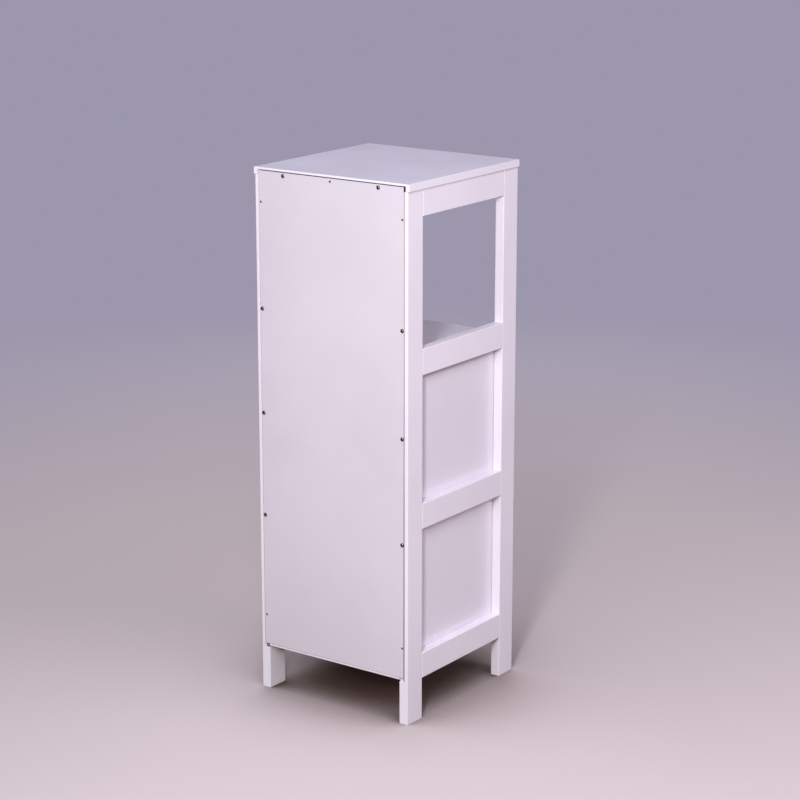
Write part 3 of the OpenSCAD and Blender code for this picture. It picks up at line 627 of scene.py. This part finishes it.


# %% [markdown]
# ## Where the paint ends
# Holes and rebates are cut after the paint is on, so their faces are bare brown board. Deep in
# the holes and joints that board is darkened to near black, a painted shade. These places could
# be painted on as an image, but the construction model already gives their corners to a tenth of
# a millimetre. A mask that tests a point against a box is exact and needs no image.

# %% A box as a mask
def inside_box(tree, low, high, both_sides=True):
    """A mask that is 1 where |x| (or x, for one side), y and z all lie between two corners."""
    parts = tree.nodes.new("ShaderNodeSeparateXYZ")
    join(tree, object_place(tree), parts.inputs[0])
    across = parts.outputs["X"]
    if both_sides:
        across = math_node(tree, "ABSOLUTE", across)
    mask = None
    for value, start, end in zip((across, parts.outputs["Y"], parts.outputs["Z"]), low, high):
        over = math_node(tree, "GREATER_THAN", value, start)
        under = math_node(tree, "LESS_THAN", value, end)
        both = math_node(tree, "MULTIPLY", over, under)
        mask = both if mask is None else math_node(tree, "MULTIPLY", mask, both)
    return mask


panel_low, panel_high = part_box("back_panel")
stile_low, stile_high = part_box("right_back_stile")
front_low, front_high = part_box("right_front_stile")
top_low, top_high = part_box("top_board")
INSET = 0.2 * MM
# A metre, which is past the last piece, where a box has no end of its own
PAST_ALL = 1
print("panel in mm:", [round(side / MM, 1) for side in panel_high - panel_low])


# %% Holes
SCREW_IN = 3.6 * MM
PILOT_R = 1.8 * MM
PILOT_L = 16 * MM
PIN_ROW_IN = 22 * MM
PIN_ROW_R = 3 * MM
PIN_DEEP = 9.5 * MM
PIN_LOW = 0.25
PIN_HIGH = 0.42
screw_x = panel_high.x - SCREW_IN


def hole_walls(tree):
    """The walls of the screw holes under the back panel, and of the shelf pin holes."""
    screws = inside_box(tree, (screw_x - PILOT_R, panel_low.y - PILOT_L, 0),
                        (screw_x + PILOT_R, panel_low.y - INSET, PAST_ALL))
    pins = None
    for middle in (stile_high.y - PIN_ROW_IN, front_low.y + PIN_ROW_IN):
        row = inside_box(tree, (stile_low.x + INSET, middle - PIN_ROW_R, PIN_LOW),
                         (stile_low.x + PIN_DEEP, middle + PIN_ROW_R, PIN_HIGH))
        pins = row if pins is None else math_node(tree, "MAXIMUM", pins, row)
    return math_node(tree, "MAXIMUM", screws, pins)


def pilot_holes(tree):
    """Raw board in the holes alone."""
    holes = hole_walls(tree)
    return holes, holes


print("bare holes lie", round(screw_x / MM, 1), "mm from the middle and in two rows for the shelf")


# %% Rebates
STUB = 7 * MM
WALL_T = 1 * MM
CORNER_W = 3 * MM
END_BELOW = 10 * MM
END_ABOVE = 3 * MM


def bare_wall(tree):
    """The near stile's rebate wall beside the panel's edge, the corner of the rebate's stub below
    the panel, which is painted dark for the lip's shadow that falls there, and the holes."""
    wall = inside_box(tree, (panel_high.x + INSET, panel_low.y - INSET, panel_low.z - STUB),
                      (panel_high.x + WALL_T, stile_high.y - 2 * INSET, PAST_ALL))
    # Painted shadow: the stub's corner is dark raw board where the lip's shadow falls
    corner = inside_box(tree, (-panel_high.x - WALL_T, panel_low.y - INSET, panel_low.z - STUB),
                        (-panel_high.x + CORNER_W, panel_low.y + INSET, panel_low.z + INSET),
                        both_sides=False)
    holes = hole_walls(tree)
    return math_node(tree, "MAXIMUM", math_node(tree, "MAXIMUM", wall, corner), holes), holes


def open_rebate(tree):
    """The floor of the short stretch of rebate that runs on below the panel, and the holes."""
    low = (stile_low.x + INSET, panel_low.y - INSET, panel_low.z - END_BELOW)
    high = (panel_high.x - INSET, stile_high.y - 2 * INSET, panel_low.z + END_ABOVE)
    end = inside_box(tree, low, high)
    holes = hole_walls(tree)
    return math_node(tree, "MAXIMUM", end, holes), holes


print("bare rebates end", round(END_BELOW / MM), "mm below the panel")


# %% Rebate of the top board
TOP_ROW_OUT = 0.12
TOP_ROW_H = 4 * MM
REBATE_PAST = 4 * MM


def top_holes(tree):
    """The top board's rebate up to its far end, which has paint, and the screw holes in it."""
    holes = inside_box(tree, (0, panel_low.y - PILOT_L, top_low.z + INSET),
                       (TOP_ROW_OUT, panel_low.y - INSET, top_low.z + TOP_ROW_H))
    low = (panel_low.x - REBATE_PAST, panel_low.y - INSET, top_low.z + INSET)
    high = (panel_high.x, stile_high.y - 2 * INSET, top_high.z - INSET)
    rebate = inside_box(tree, low, high, both_sides=False)
    return math_node(tree, "MAXIMUM", holes, rebate), holes


print("the top's row of holes reaches", round(TOP_ROW_OUT / MM), "mm to each side")


# %% Finishes of the boards
painted_board = lacquer("painted_board", PAINT, PAINT_DEEP, PAINT_HIGHLIGHT)
drilled_board = lacquer("drilled_board", PAINT, PAINT_DEEP, PAINT_HIGHLIGHT, pilot_holes)
near_board = lacquer("near_board", PAINT, PAINT_DEEP, PAINT_HIGHLIGHT, bare_wall)
rebated_board = lacquer("rebated_board", PAINT, PAINT_DEEP, PAINT_HIGHLIGHT, open_rebate, FIBRE_DUSTY)
grooved_top = lacquer("grooved_top", PAINT, PAINT_DEEP, PAINT_HIGHLIGHT, top_holes)
print("five finishes for the boards, four of them with bare places")


# %% [markdown]
# ## Thin coated sheets
# The back is a thin sheet with a paper-like coating. It is a step greyer and pinker than the
# lacquered lip round it. It was sawn and drilled after it was coated, so its edges are brown and
# its holes have chipped rims. The chips need no modelling: a wide Soft arris finds the rims. The
# sheets in the lower bays are painted like the frame, with sharper arrises.

# %% Sawn and chipped edges of the back
SHEET = picked(218, 210, 219)
SHEET_DEEP = picked(212, 204, 213)
# A lighter coating for the arrises, a painted highlight
SHEET_HIGHLIGHT = picked(222, 215, 223)
RIM = 0.9 * MM
EDGE_ON = 0.5
OVERSPRAY_LOW = 0.12
OVERSPRAY_HIGH = 0.75
OVERSPRAY = 0.8
CHIP = 1.4 * MM


def cut_edges(tree):
    """The panel's sawn edges and hole walls, the chipped rims of the holes, and a dark stripe on
    the near edge's face, painted shade beside the joint's gap. Overspray pales the side edges
    towards the top. The second mask, of the hole walls alone, is for the holes' painted shade."""
    facing = tree.nodes.new("ShaderNodeSeparateXYZ")
    join(tree, tree.nodes.new("ShaderNodeNewGeometry").outputs["Normal"], facing.inputs[0])
    sideways = math_node(tree, "ABSOLUTE", facing.outputs["Y"])
    sawn = math_node(tree, "LESS_THAN", sideways, EDGE_ON)
    place = tree.nodes.new("ShaderNodeSeparateXYZ")
    join(tree, object_place(tree), place.inputs[0])
    reach = math_node(tree, "ABSOLUTE", place.outputs["X"])
    outer = math_node(tree, "GREATER_THAN", reach, panel_high.x - RIM)
    # Painted shade: a dark stripe on the near edge's face, beside the joint's gap
    rim = math_node(tree, "LESS_THAN", place.outputs["X"], RIM - panel_high.x)
    sprayed = stretch(tree, place.outputs["Z"], OVERSPRAY_LOW, OVERSPRAY_HIGH, 0.0, OVERSPRAY)
    below_top = math_node(tree, "LESS_THAN", place.outputs["Z"], top_low.z - INSET)
    sprayed = math_node(tree, "MULTIPLY", sprayed, below_top)
    raw = math_node(tree, "MAXIMUM", sawn, rim)
    raw = math_node(tree, "SUBTRACT", raw, math_node(tree, "MULTIPLY", outer, sprayed), clamp=True)
    inner = inside_box(tree, (-PAST_ALL, 0, panel_low.z + RIM),
                       (panel_high.x - RIM, PAST_ALL, panel_high.z - RIM))
    chipped = math_node(tree, "MULTIPLY", use_group(tree, soft_arris, Width=CHIP)["Edge"], inner)
    return math_node(tree, "MAXIMUM", raw, chipped), math_node(tree, "MULTIPLY", sawn, inner)


print("holes of the back have rims chipped", round(CHIP / MM, 1), "mm wide")


# %% Finishes of the sheets
BAY_DEEP = picked(230, 223, 233)
SHEET_ROUNDING = 0.5 * MM
# Painted shade in the bays' inner corners and under their rails
CORNER_REACH = 0.014
CORNER_DEPTH = 0.15
# Settings of a strip of painted shade under the rails, and its depth
UNDER_RAIL = ({"Reach": CORNER_REACH}, 0.7)

back_sheet = lacquer("back_sheet", SHEET, SHEET_DEEP, SHEET_HIGHLIGHT, cut_edges,
                     rounding=SHEET_ROUNDING)
bay_sheet = lacquer("bay_sheet", PAINT_DEEP, BAY_DEEP, PAINT_DEEP, rounding=SHEET_ROUNDING,
                    reach=CORNER_REACH, depth=CORNER_DEPTH, strips=(UNDER_RAIL,))
print("two sheet finishes")


# %% [markdown]
# ## Metals, wood and plastic of the fittings
# The small fittings are plated steel, die-cast zinc, beech, moulded plastic and ferrite. Each has
# its own colour, gloss and fine texture, and most show only when the door is open. Plain metal
# looks like a mirror, so a fine grain breaks its gloss and slow clouds dull its colour.

# %% Plated metal
CLOUD = 0.006
CLOUD_RANGE = (0.35, 0.7)
DULLED = 0.82
GLOSSIER = 0.06
DULLER = 0.08


def dimmed(colour, share):
    """A share of a colour's light, with its last value kept at 1."""
    return tuple(share * value for value in colour[:3]) + (1.0,)


def plated(name, colour, rough, grain, depth):
    """Plated or cast metal with a fine grain in gloss and height."""
    material, tree, shader = new_material(name)
    place = object_place(tree)
    fine = noise(tree, place, grain, detail=3.0)
    clouds = stretch(tree, noise(tree, place, CLOUD, detail=2.0), *CLOUD_RANGE)
    join(tree, blend_colour(tree, clouds, colour, dimmed(colour, DULLED)),
         shader.inputs["Base Color"])
    join(tree, stretch(tree, fine, *NOISE_RANGE, rough - GLOSSIER, rough + DULLER),
         shader.inputs["Roughness"])
    join(tree, bumped(tree, fine, depth), shader.inputs["Normal"])
    shader.inputs["Metallic"].default_value = 1.0
    return material


# Name, colour, roughness, size of the grain and its height
# The screws' nickel is given a dark colour for the dark room its heads reflect: a painted dark
# reflection
nickel_screw = plated("nickel_screw", picked(104, 98, 102), 0.26, 0.0006, 0.00001)
satin_nickel = plated("satin_nickel", picked(208, 203, 196), 0.32, 0.0004, 0.00002)
zinc_steel = plated("zinc_steel", picked(204, 208, 214), 0.34, 0.0008, 0.00002)
zinc_cam = plated("zinc_cam", picked(168, 170, 174), 0.48, 0.0007, 0.00005)
print("four metals")


# %% Beech, plastic and ferrite
BEECH = picked(205, 170, 126)
BEECH_FLECK = picked(168, 128, 88)
BEECH_GRAIN = 0.0013
BEECH_HEIGHT = 0.0001
BEECH_ROUGH = 0.7
PRESSED_DULLED = 0.9
PRESSED_HEIGHT = 0.00004


def beech():
    """Bare beech with short dark flecks."""
    material, tree, shader = new_material("dowel_wood")
    place = object_place(tree)
    fleck = noise(tree, place, BEECH_GRAIN, detail=4.0, roughness=0.7)
    colour = blend_colour(tree, stretch(tree, fleck, *CLOUD_RANGE), BEECH, BEECH_FLECK)
    join(tree, colour, shader.inputs["Base Color"])
    join(tree, bumped(tree, fleck, BEECH_HEIGHT), shader.inputs["Normal"])
    shader.inputs["Roughness"].default_value = BEECH_ROUGH
    return material


def moulded(name, colour, rough, grain):
    """A moulded or pressed part with a fine even grain."""
    material, tree, shader = new_material(name)
    place = object_place(tree)
    fine = noise(tree, place, grain, detail=2.0)
    join(tree, blend_colour(tree, stretch(tree, fine, *NOISE_RANGE), colour,
                            dimmed(colour, PRESSED_DULLED)), shader.inputs["Base Color"])
    join(tree, bumped(tree, fine, PRESSED_HEIGHT), shader.inputs["Normal"])
    shader.inputs["Roughness"].default_value = rough
    return material


dowel_wood = beech()
# Name, colour, roughness and size of the grain
white_plastic = moulded("white_plastic", picked(238, 238, 235), 0.42, 0.0005)
ferrite = moulded("ferrite", picked(58, 57, 60), 0.55, 0.0004)
print("beech, plastic and ferrite")


# %% [markdown]
# ## Dressing the construction pieces
# The record says which finish each piece has, so the pieces needn't be named one by one. Only the
# boards with bare places and the back need a finish of their own, and these are named here.

# %% Give each piece its finish
finishes = {
    "painted_board": painted_board,
    "painted_sheet": bay_sheet,
    "dowel_wood": dowel_wood,
    "zinc_cam": zinc_cam,
    "zinc_steel": zinc_steel,
    "nickel_screw": nickel_screw,
    "satin_nickel": satin_nickel,
    "white_plastic": white_plastic,
    "ferrite": ferrite,
}
special = {
    "back_panel": back_sheet,
    "left_back_stile": near_board,
    "right_back_stile": rebated_board,
    "left_front_stile": drilled_board,
    "right_front_stile": drilled_board,
    "top_board": grooved_top,
}


def dress(piece, material):
    """Puts one material in every slot of a construction piece."""
    for slot in piece.material_slots:
        slot.material = material


for part in frame["record"]["subparts"]:
    name = part["node"]
    dress(nodes[name], special.get(name, finishes[part["material_slot"]]))
used = set(finishes.values()) | set(special.values())
print(len(nodes), "pieces dressed in", len(used), "finishes")


# %% [markdown]
# ## Screws
# The construction model holds each screw as a plain turned shape. A real one is a blank with a
# rolled head, a pressed cross and a thread, so each size is modelled once and copied. Every copy
# gets its own turn, because nobody stops all screws at one angle. The places come from the turned
# shapes themselves: a node that holds several is split into its loose solids, which are measured.

# %% Where the screws sit
MERGE = 0.01 * MM


def solid_boxes(name):
    """The lowest and highest corners of each separate solid of a construction piece, sorted."""
    bpy.ops.object.select_all(action="DESELECT")
    nodes[name].select_set(True)
    bpy.context.view_layer.objects.active = nodes[name]
    bpy.ops.object.duplicate()
    bpy.ops.object.mode_set(mode="EDIT")
    bpy.ops.mesh.select_all(action="SELECT")
    bpy.ops.mesh.remove_doubles(threshold=MERGE)
    bpy.ops.mesh.separate(type="LOOSE")
    bpy.ops.object.mode_set(mode="OBJECT")
    boxes = []
    for part in list(bpy.context.selected_objects):
        places = [vertex.co for vertex in part.data.vertices]
        low = [min(place[axis] for place in places) for axis in range(3)]
        high = [max(place[axis] for place in places) for axis in range(3)]
        boxes.append((low, high))
        bpy.data.objects.remove(part, do_unlink=True)
    return [(Vector(low), Vector(high)) for low, high in sorted(boxes)]


screw_nodes = ["back_panel_screws", "hinge_frame_screws", "hinge_door_screws", "catch_screws",
               "strike_screw", "knob_screw"]
screw_boxes = {name: solid_boxes(name) for name in screw_nodes}
print("screws:", {name: len(boxes) for name, boxes in screw_boxes.items()})

# %% [markdown]
# By hand, the top of a disc is clicked in edit mode. A script has no mouse, so faces are picked by
# where they lie and which way they look, and the operators then act on what is picked.

# %% Picking faces by their place
def pick_faces(piece, wanted):
    """Opens a piece in edit mode with those faces selected whose centre and normal pass a test."""
    bpy.context.view_layer.objects.active = piece
    bpy.ops.object.mode_set(mode="EDIT")
    bpy.ops.mesh.select_mode(type="FACE")
    bpy.ops.mesh.select_all(action="DESELECT")
    bpy.ops.object.mode_set(mode="OBJECT")
    for face in piece.data.polygons:
        face.select = bool(wanted(face.center, face.normal))
    bpy.ops.object.mode_set(mode="EDIT")


def push_faces(distance):
    """Extrudes the selected faces straight up or down."""
    bpy.ops.mesh.extrude_region_move(TRANSFORM_OT_translate={"value": (0, 0, distance)})


# A normal whose Z is past this looks straight up or down
STRAIGHT = 0.9


def looks_up(centre, normal):
    return normal.z > STRAIGHT


def looks_down(centre, normal):
    return normal.z < -STRAIGHT


print("helpers for edit mode ready")

# %% [markdown]
# A pan head starts as a thin disc. Its top face is inset and raised ring by ring along an arc, and
# its underside is inset to the shank's core and pushed down to a point. A countersunk head is the
# same disc, flush with the surface, whose underside tapers straight into the shank.

# %% The shank
CORE_SHARE = 0.74
TIP_SHARE = 0.12


def add_shank(blank, from_r, core_r, head_h, length, tip):
    """Draws the lowest face in to the core's radius and pushes it down to the tip."""
    pick_faces(blank, looks_down)
    if from_r > core_r:
        bpy.ops.mesh.inset(thickness=from_r - core_r, depth=0)
    push_faces(head_h + tip - length)
    push_faces(-tip)
    bpy.ops.transform.resize(value=(TIP_SHARE, TIP_SHARE, 1))
    bpy.ops.object.mode_set(mode="OBJECT")


print("a core is", CORE_SHARE, "of its shank and ends at", TIP_SHARE, "of its width")


# %% Pan head
SIDES = 32
PAN_RIM_SHARE = 0.3
DOME_RINGS = (0.94, 0.84, 0.68, 0.46, 0.22)


def pan_blank(head_d, head_h, shank_d, length, tip):
    """A domed head with its top at height 0, on a plain core with a tapered end."""
    bpy.ops.object.select_all(action="DESELECT")
    rim = head_h * PAN_RIM_SHARE
    dome = head_h - rim
    arc = ((head_d / 2) ** 2 + dome ** 2) / (2 * dome)
    bpy.ops.mesh.primitive_cylinder_add(vertices=SIDES, radius=head_d / 2, depth=rim,
                                        location=(0, 0, rim / 2 - head_h))
    blank = bpy.context.object
    bpy.ops.object.transform_apply(location=True, rotation=True, scale=True)
    pick_faces(blank, looks_up)
    radius, height = head_d / 2, -dome
    for share in DOME_RINGS:
        next_radius = share * head_d / 2
        next_height = math.sqrt(arc ** 2 - next_radius ** 2) - arc
        bpy.ops.mesh.inset(thickness=radius - next_radius, depth=next_height - height)
        radius, height = next_radius, next_height
    bpy.ops.object.mode_set(mode="OBJECT")
    add_shank(blank, head_d / 2, shank_d / 2 * CORE_SHARE, head_h, length, tip)
    return blank


print("a pan head has", SIDES, "sides and", len(DOME_RINGS), "rings in its dome")


# %% Countersunk head
FLAT_RIM_SHARE = 0.12


def flat_blank(head_d, head_h, shank_d, length, tip):
    """A countersunk head with its flat top at height 0, on a plain core with a tapered end."""
    bpy.ops.object.select_all(action="DESELECT")
    rim = head_h * FLAT_RIM_SHARE
    bpy.ops.mesh.primitive_cylinder_add(vertices=SIDES, radius=head_d / 2, depth=rim,
                                        location=(0, 0, -rim / 2))
    blank = bpy.context.object
    bpy.ops.object.transform_apply(location=True, rotation=True, scale=True)
    pick_faces(blank, looks_down)
    push_faces(rim - head_h)
    core_r = shank_d / 2 * CORE_SHARE
    bpy.ops.transform.resize(value=(2 * core_r / head_d, 2 * core_r / head_d, 1))
    bpy.ops.object.mode_set(mode="OBJECT")
    add_shank(blank, core_r, core_r, head_h, length, tip)
    return blank


print("a countersunk head has a rim of", FLAT_RIM_SHARE, "of its height")

# %% [markdown]
# The cross is pressed in by a tapered punch. Two tapered bars are cut out of the head one after
# the other with a Boolean, which leaves crisp corners at the bottom as the punch does. The rim's
# sharp corners are taken off with a narrow Bevel first.

# %% Softened rim
SOFT_ANGLE = math.radians(40)
SOFT_SEGMENTS = 2


def apply_modifier(piece, modifier):
    bpy.context.view_layer.objects.active = piece
    bpy.ops.object.modifier_apply(modifier=modifier.name)


def soften(piece, width):
    """Bevels all corners that turn by more than the soft angle."""
    bevel = piece.modifiers.new("soften", "BEVEL")
    bevel.width = width
    bevel.segments = SOFT_SEGMENTS
    bevel.limit_method = "ANGLE"
    bevel.angle_limit = SOFT_ANGLE
    apply_modifier(piece, bevel)


print("corners past", round(math.degrees(SOFT_ANGLE)), "degrees are bevelled")


# %% Cross recess
CROSS_TAPER = 0.72


def press_cross(piece, length, width, depth):
    """Cuts a cross with tapered ends and floor into the head's top at height 0."""
    # The punch stands this far out of the head, so that no face of it lies on the head's top
    spare = 0.5 * MM
    for size_x, size_y in ((length, width), (width, length)):
        bpy.ops.object.select_all(action="DESELECT")
        bpy.ops.mesh.primitive_cube_add(size=1, location=(0, 0, (spare - depth) / 2))
        punch = bpy.context.object
        punch.scale = (size_x, size_y, depth + spare)
        bpy.ops.object.transform_apply(location=True, rotation=True, scale=True)
        pick_faces(punch, looks_down)
        bpy.ops.transform.resize(value=(CROSS_TAPER, CROSS_TAPER, 1))
        bpy.ops.object.mode_set(mode="OBJECT")
        cut = piece.modifiers.new("press", "BOOLEAN")
        cut.operation = "DIFFERENCE"
        cut.object = punch
        cut.solver = "EXACT"
        apply_modifier(piece, cut)
        bpy.data.objects.remove(punch, do_unlink=True)


print("cross ready, its floor is", CROSS_TAPER, "of its mouth")

# %% [markdown]
# A thread is a small ridge that climbs round the core. A bump in the material would keep a smooth
# outline, so it is modelled: the Screw modifier turns a diamond outline about the axis and lifts
# it by the pitch on each turn, which is exactly how a thread is cut.

# %% Thread
THREAD_STEPS = 20
RIDGE_SIDES = 4


def cut_thread(piece, shank_d, pitch, low, high):
    """Winds a ridge round the core between two heights and joins it to the piece."""
    bpy.ops.object.select_all(action="DESELECT")
    core_r = shank_d / 2 * CORE_SHARE
    ridge = shank_d / 2 - core_r
    bpy.ops.mesh.primitive_circle_add(vertices=RIDGE_SIDES, radius=ridge,
                                      location=(core_r, 0, low + ridge),
                                      rotation=(math.radians(90), 0, 0))
    thread = bpy.context.object
    bpy.ops.object.transform_apply(location=True, rotation=True, scale=True)
    wind = thread.modifiers.new("wind", "SCREW")
    wind.screw_offset = pitch
    wind.iterations = int((high - low - 2 * ridge) / pitch)
    wind.steps = THREAD_STEPS
    wind.render_steps = THREAD_STEPS
    apply_modifier(thread, wind)
    bpy.ops.object.mode_set(mode="EDIT")
    bpy.ops.mesh.select_mode(type="EDGE")
    bpy.ops.mesh.select_all(action="DESELECT")
    bpy.ops.mesh.select_non_manifold()
    bpy.ops.mesh.fill_holes(sides=RIDGE_SIDES)
    bpy.ops.mesh.select_all(action="SELECT")
    bpy.ops.mesh.normals_make_consistent(inside=False)
    bpy.ops.object.mode_set(mode="OBJECT")
    piece.select_set(True)
    bpy.context.view_layer.objects.active = piece
    bpy.ops.object.join()


print("threads have", THREAD_STEPS, "steps to a turn")

# %% [markdown]
# Every screw of one node has the same size. The pattern is made once at the origin, standing up
# with its head's top at height 0, because a lathe shape is easiest to shape about the Z axis. Its
# length and head come from the construction piece, so the two can't drift apart.

# %% Screw patterns
PAN_HEAD_H = 2.3 * MM
FLAT_HEAD_H = 1.0 * MM
KNOB_HEAD_H = 2.2 * MM
# Diameter of the shank, pitch of the thread and length of the tip
WOOD_THREAD = (3 * MM, 1.35 * MM, 3 * MM)
MACHINE_THREAD = (4 * MM, 0.7 * MM, 0.5 * MM)
SOFT_RIM = 0.1 * MM
CROSS_SPAN = 0.56
CROSS_W = 0.9 * MM
PAN_CROSS_SHARE = 0.62
FLAT_CROSS_DEPTH = 0.9 * MM
SMOOTH_ANGLE = math.radians(35)


def make_pattern(name, blank_form, head_h, thread, outward):
    """One finished screw at the origin, its size read from the construction piece."""
    shank_d, pitch, tip = thread
    low, high = screw_boxes[name][0]
    size = high - low
    along = max(range(3), key=lambda axis: abs(outward[axis]))
    length = size[along]
    head_d = size[(along + 1) % 3]
    pattern = blank_form(head_d, head_h, shank_d, length, tip)
    soften(pattern, SOFT_RIM)
    cross_depth = head_h * PAN_CROSS_SHARE if head_h > FLAT_HEAD_H else FLAT_CROSS_DEPTH
    press_cross(pattern, head_d * CROSS_SPAN, CROSS_W, cross_depth)
    cut_thread(pattern, shank_d, pitch, tip - length, -head_h)
    bpy.ops.object.select_all(action="DESELECT")
    pattern.select_set(True)
    bpy.context.view_layer.objects.active = pattern
    bpy.ops.object.shade_smooth_by_angle(angle=SMOOTH_ANGLE)
    return pattern


print("patterns have", round(SOFT_RIM / MM, 1), "mm off their corners")


# %% [markdown]
# Each copy is turned, laid along its hole and moved to its place, and the placing is then applied
# to its mesh. So every screw keeps its own object at the origin, as the boards do, and a pattern
# in metres neither slides nor turns on it.

# %% Copies in their places
TURN_SEED = 17
# A cross looks the same again after this many degrees
QUARTER_TURN = 90
turns = random.Random(TURN_SEED)


def set_screws(name, pattern, outward, body, finish_slot):
    """Copies a pattern to each screw's place, with its own turn. The pieces stand for the node."""
    for number, (low, high) in enumerate(screw_boxes[name], 1):
        place = (low + high) / 2
        along = max(range(3), key=lambda axis: abs(outward[axis]))
        place[along] = high[along] if outward[along] > 0 else low[along]
        bpy.ops.object.select_all(action="DESELECT")
        pattern.select_set(True)
        bpy.context.view_layer.objects.active = pattern
        bpy.ops.object.duplicate()
        screw = bpy.context.object
        screw.name = f"{name.removesuffix('s')}_{number}"
        turn = Quaternion((0, 0, 1), math.radians(turns.uniform(0, QUARTER_TURN)))
        screw.rotation_mode = "QUATERNION"
        screw.rotation_quaternion = outward.to_track_quat("Z", "Y") @ turn
        screw.location = place
        bpy.ops.object.transform_apply(location=True, rotation=True, scale=True)
        screw.data.materials.clear()
        screw.data.materials.append(finishes[finish_slot])
        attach(screw, body)
        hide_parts(name)
    bpy.data.objects.remove(pattern, do_unlink=True)
    print(name, len(screw_boxes[name]), "pieces on", body)


print("each copy is turned by up to", QUARTER_TURN, "degrees")


# %% Set every screw
RIGHT, LEFT = Vector((1, 0, 0)), Vector((-1, 0, 0))
BACK, DOWN = Vector((0, 1, 0)), Vector((0, 0, -1))
SCREWS = [
    # node, form of the head, its height, thread, way that the head looks, body, finish
    ("back_panel_screws", pan_blank, PAN_HEAD_H, WOOD_THREAD, BACK, "cabinet", "nickel_screw"),
    ("catch_screws", pan_blank, PAN_HEAD_H, WOOD_THREAD, DOWN, "cabinet", "zinc_steel"),
    ("hinge_frame_screws", flat_blank, FLAT_HEAD_H, WOOD_THREAD, RIGHT, "cabinet", "satin_nickel"),
    ("hinge_door_screws", flat_blank, FLAT_HEAD_H, WOOD_THREAD, LEFT, "door", "satin_nickel"),
    ("strike_screw", flat_blank, FLAT_HEAD_H, WOOD_THREAD, BACK, "door", "zinc_steel"),
    ("knob_screw", pan_blank, KNOB_HEAD_H, MACHINE_THREAD, BACK, "door", "zinc_steel"),
]
for name, blank_form, head_h, thread, outward, body, finish_slot in SCREWS:
    pattern = make_pattern(name, blank_form, head_h, thread, outward)
    set_screws(name, pattern, outward, body, finish_slot)


# %% [markdown]
# ## Sizes, and the end
# The new pieces stand for construction pieces, so they must not make the cabinet larger or
# smaller.

# %% The end
print("the cabinet is dressed")
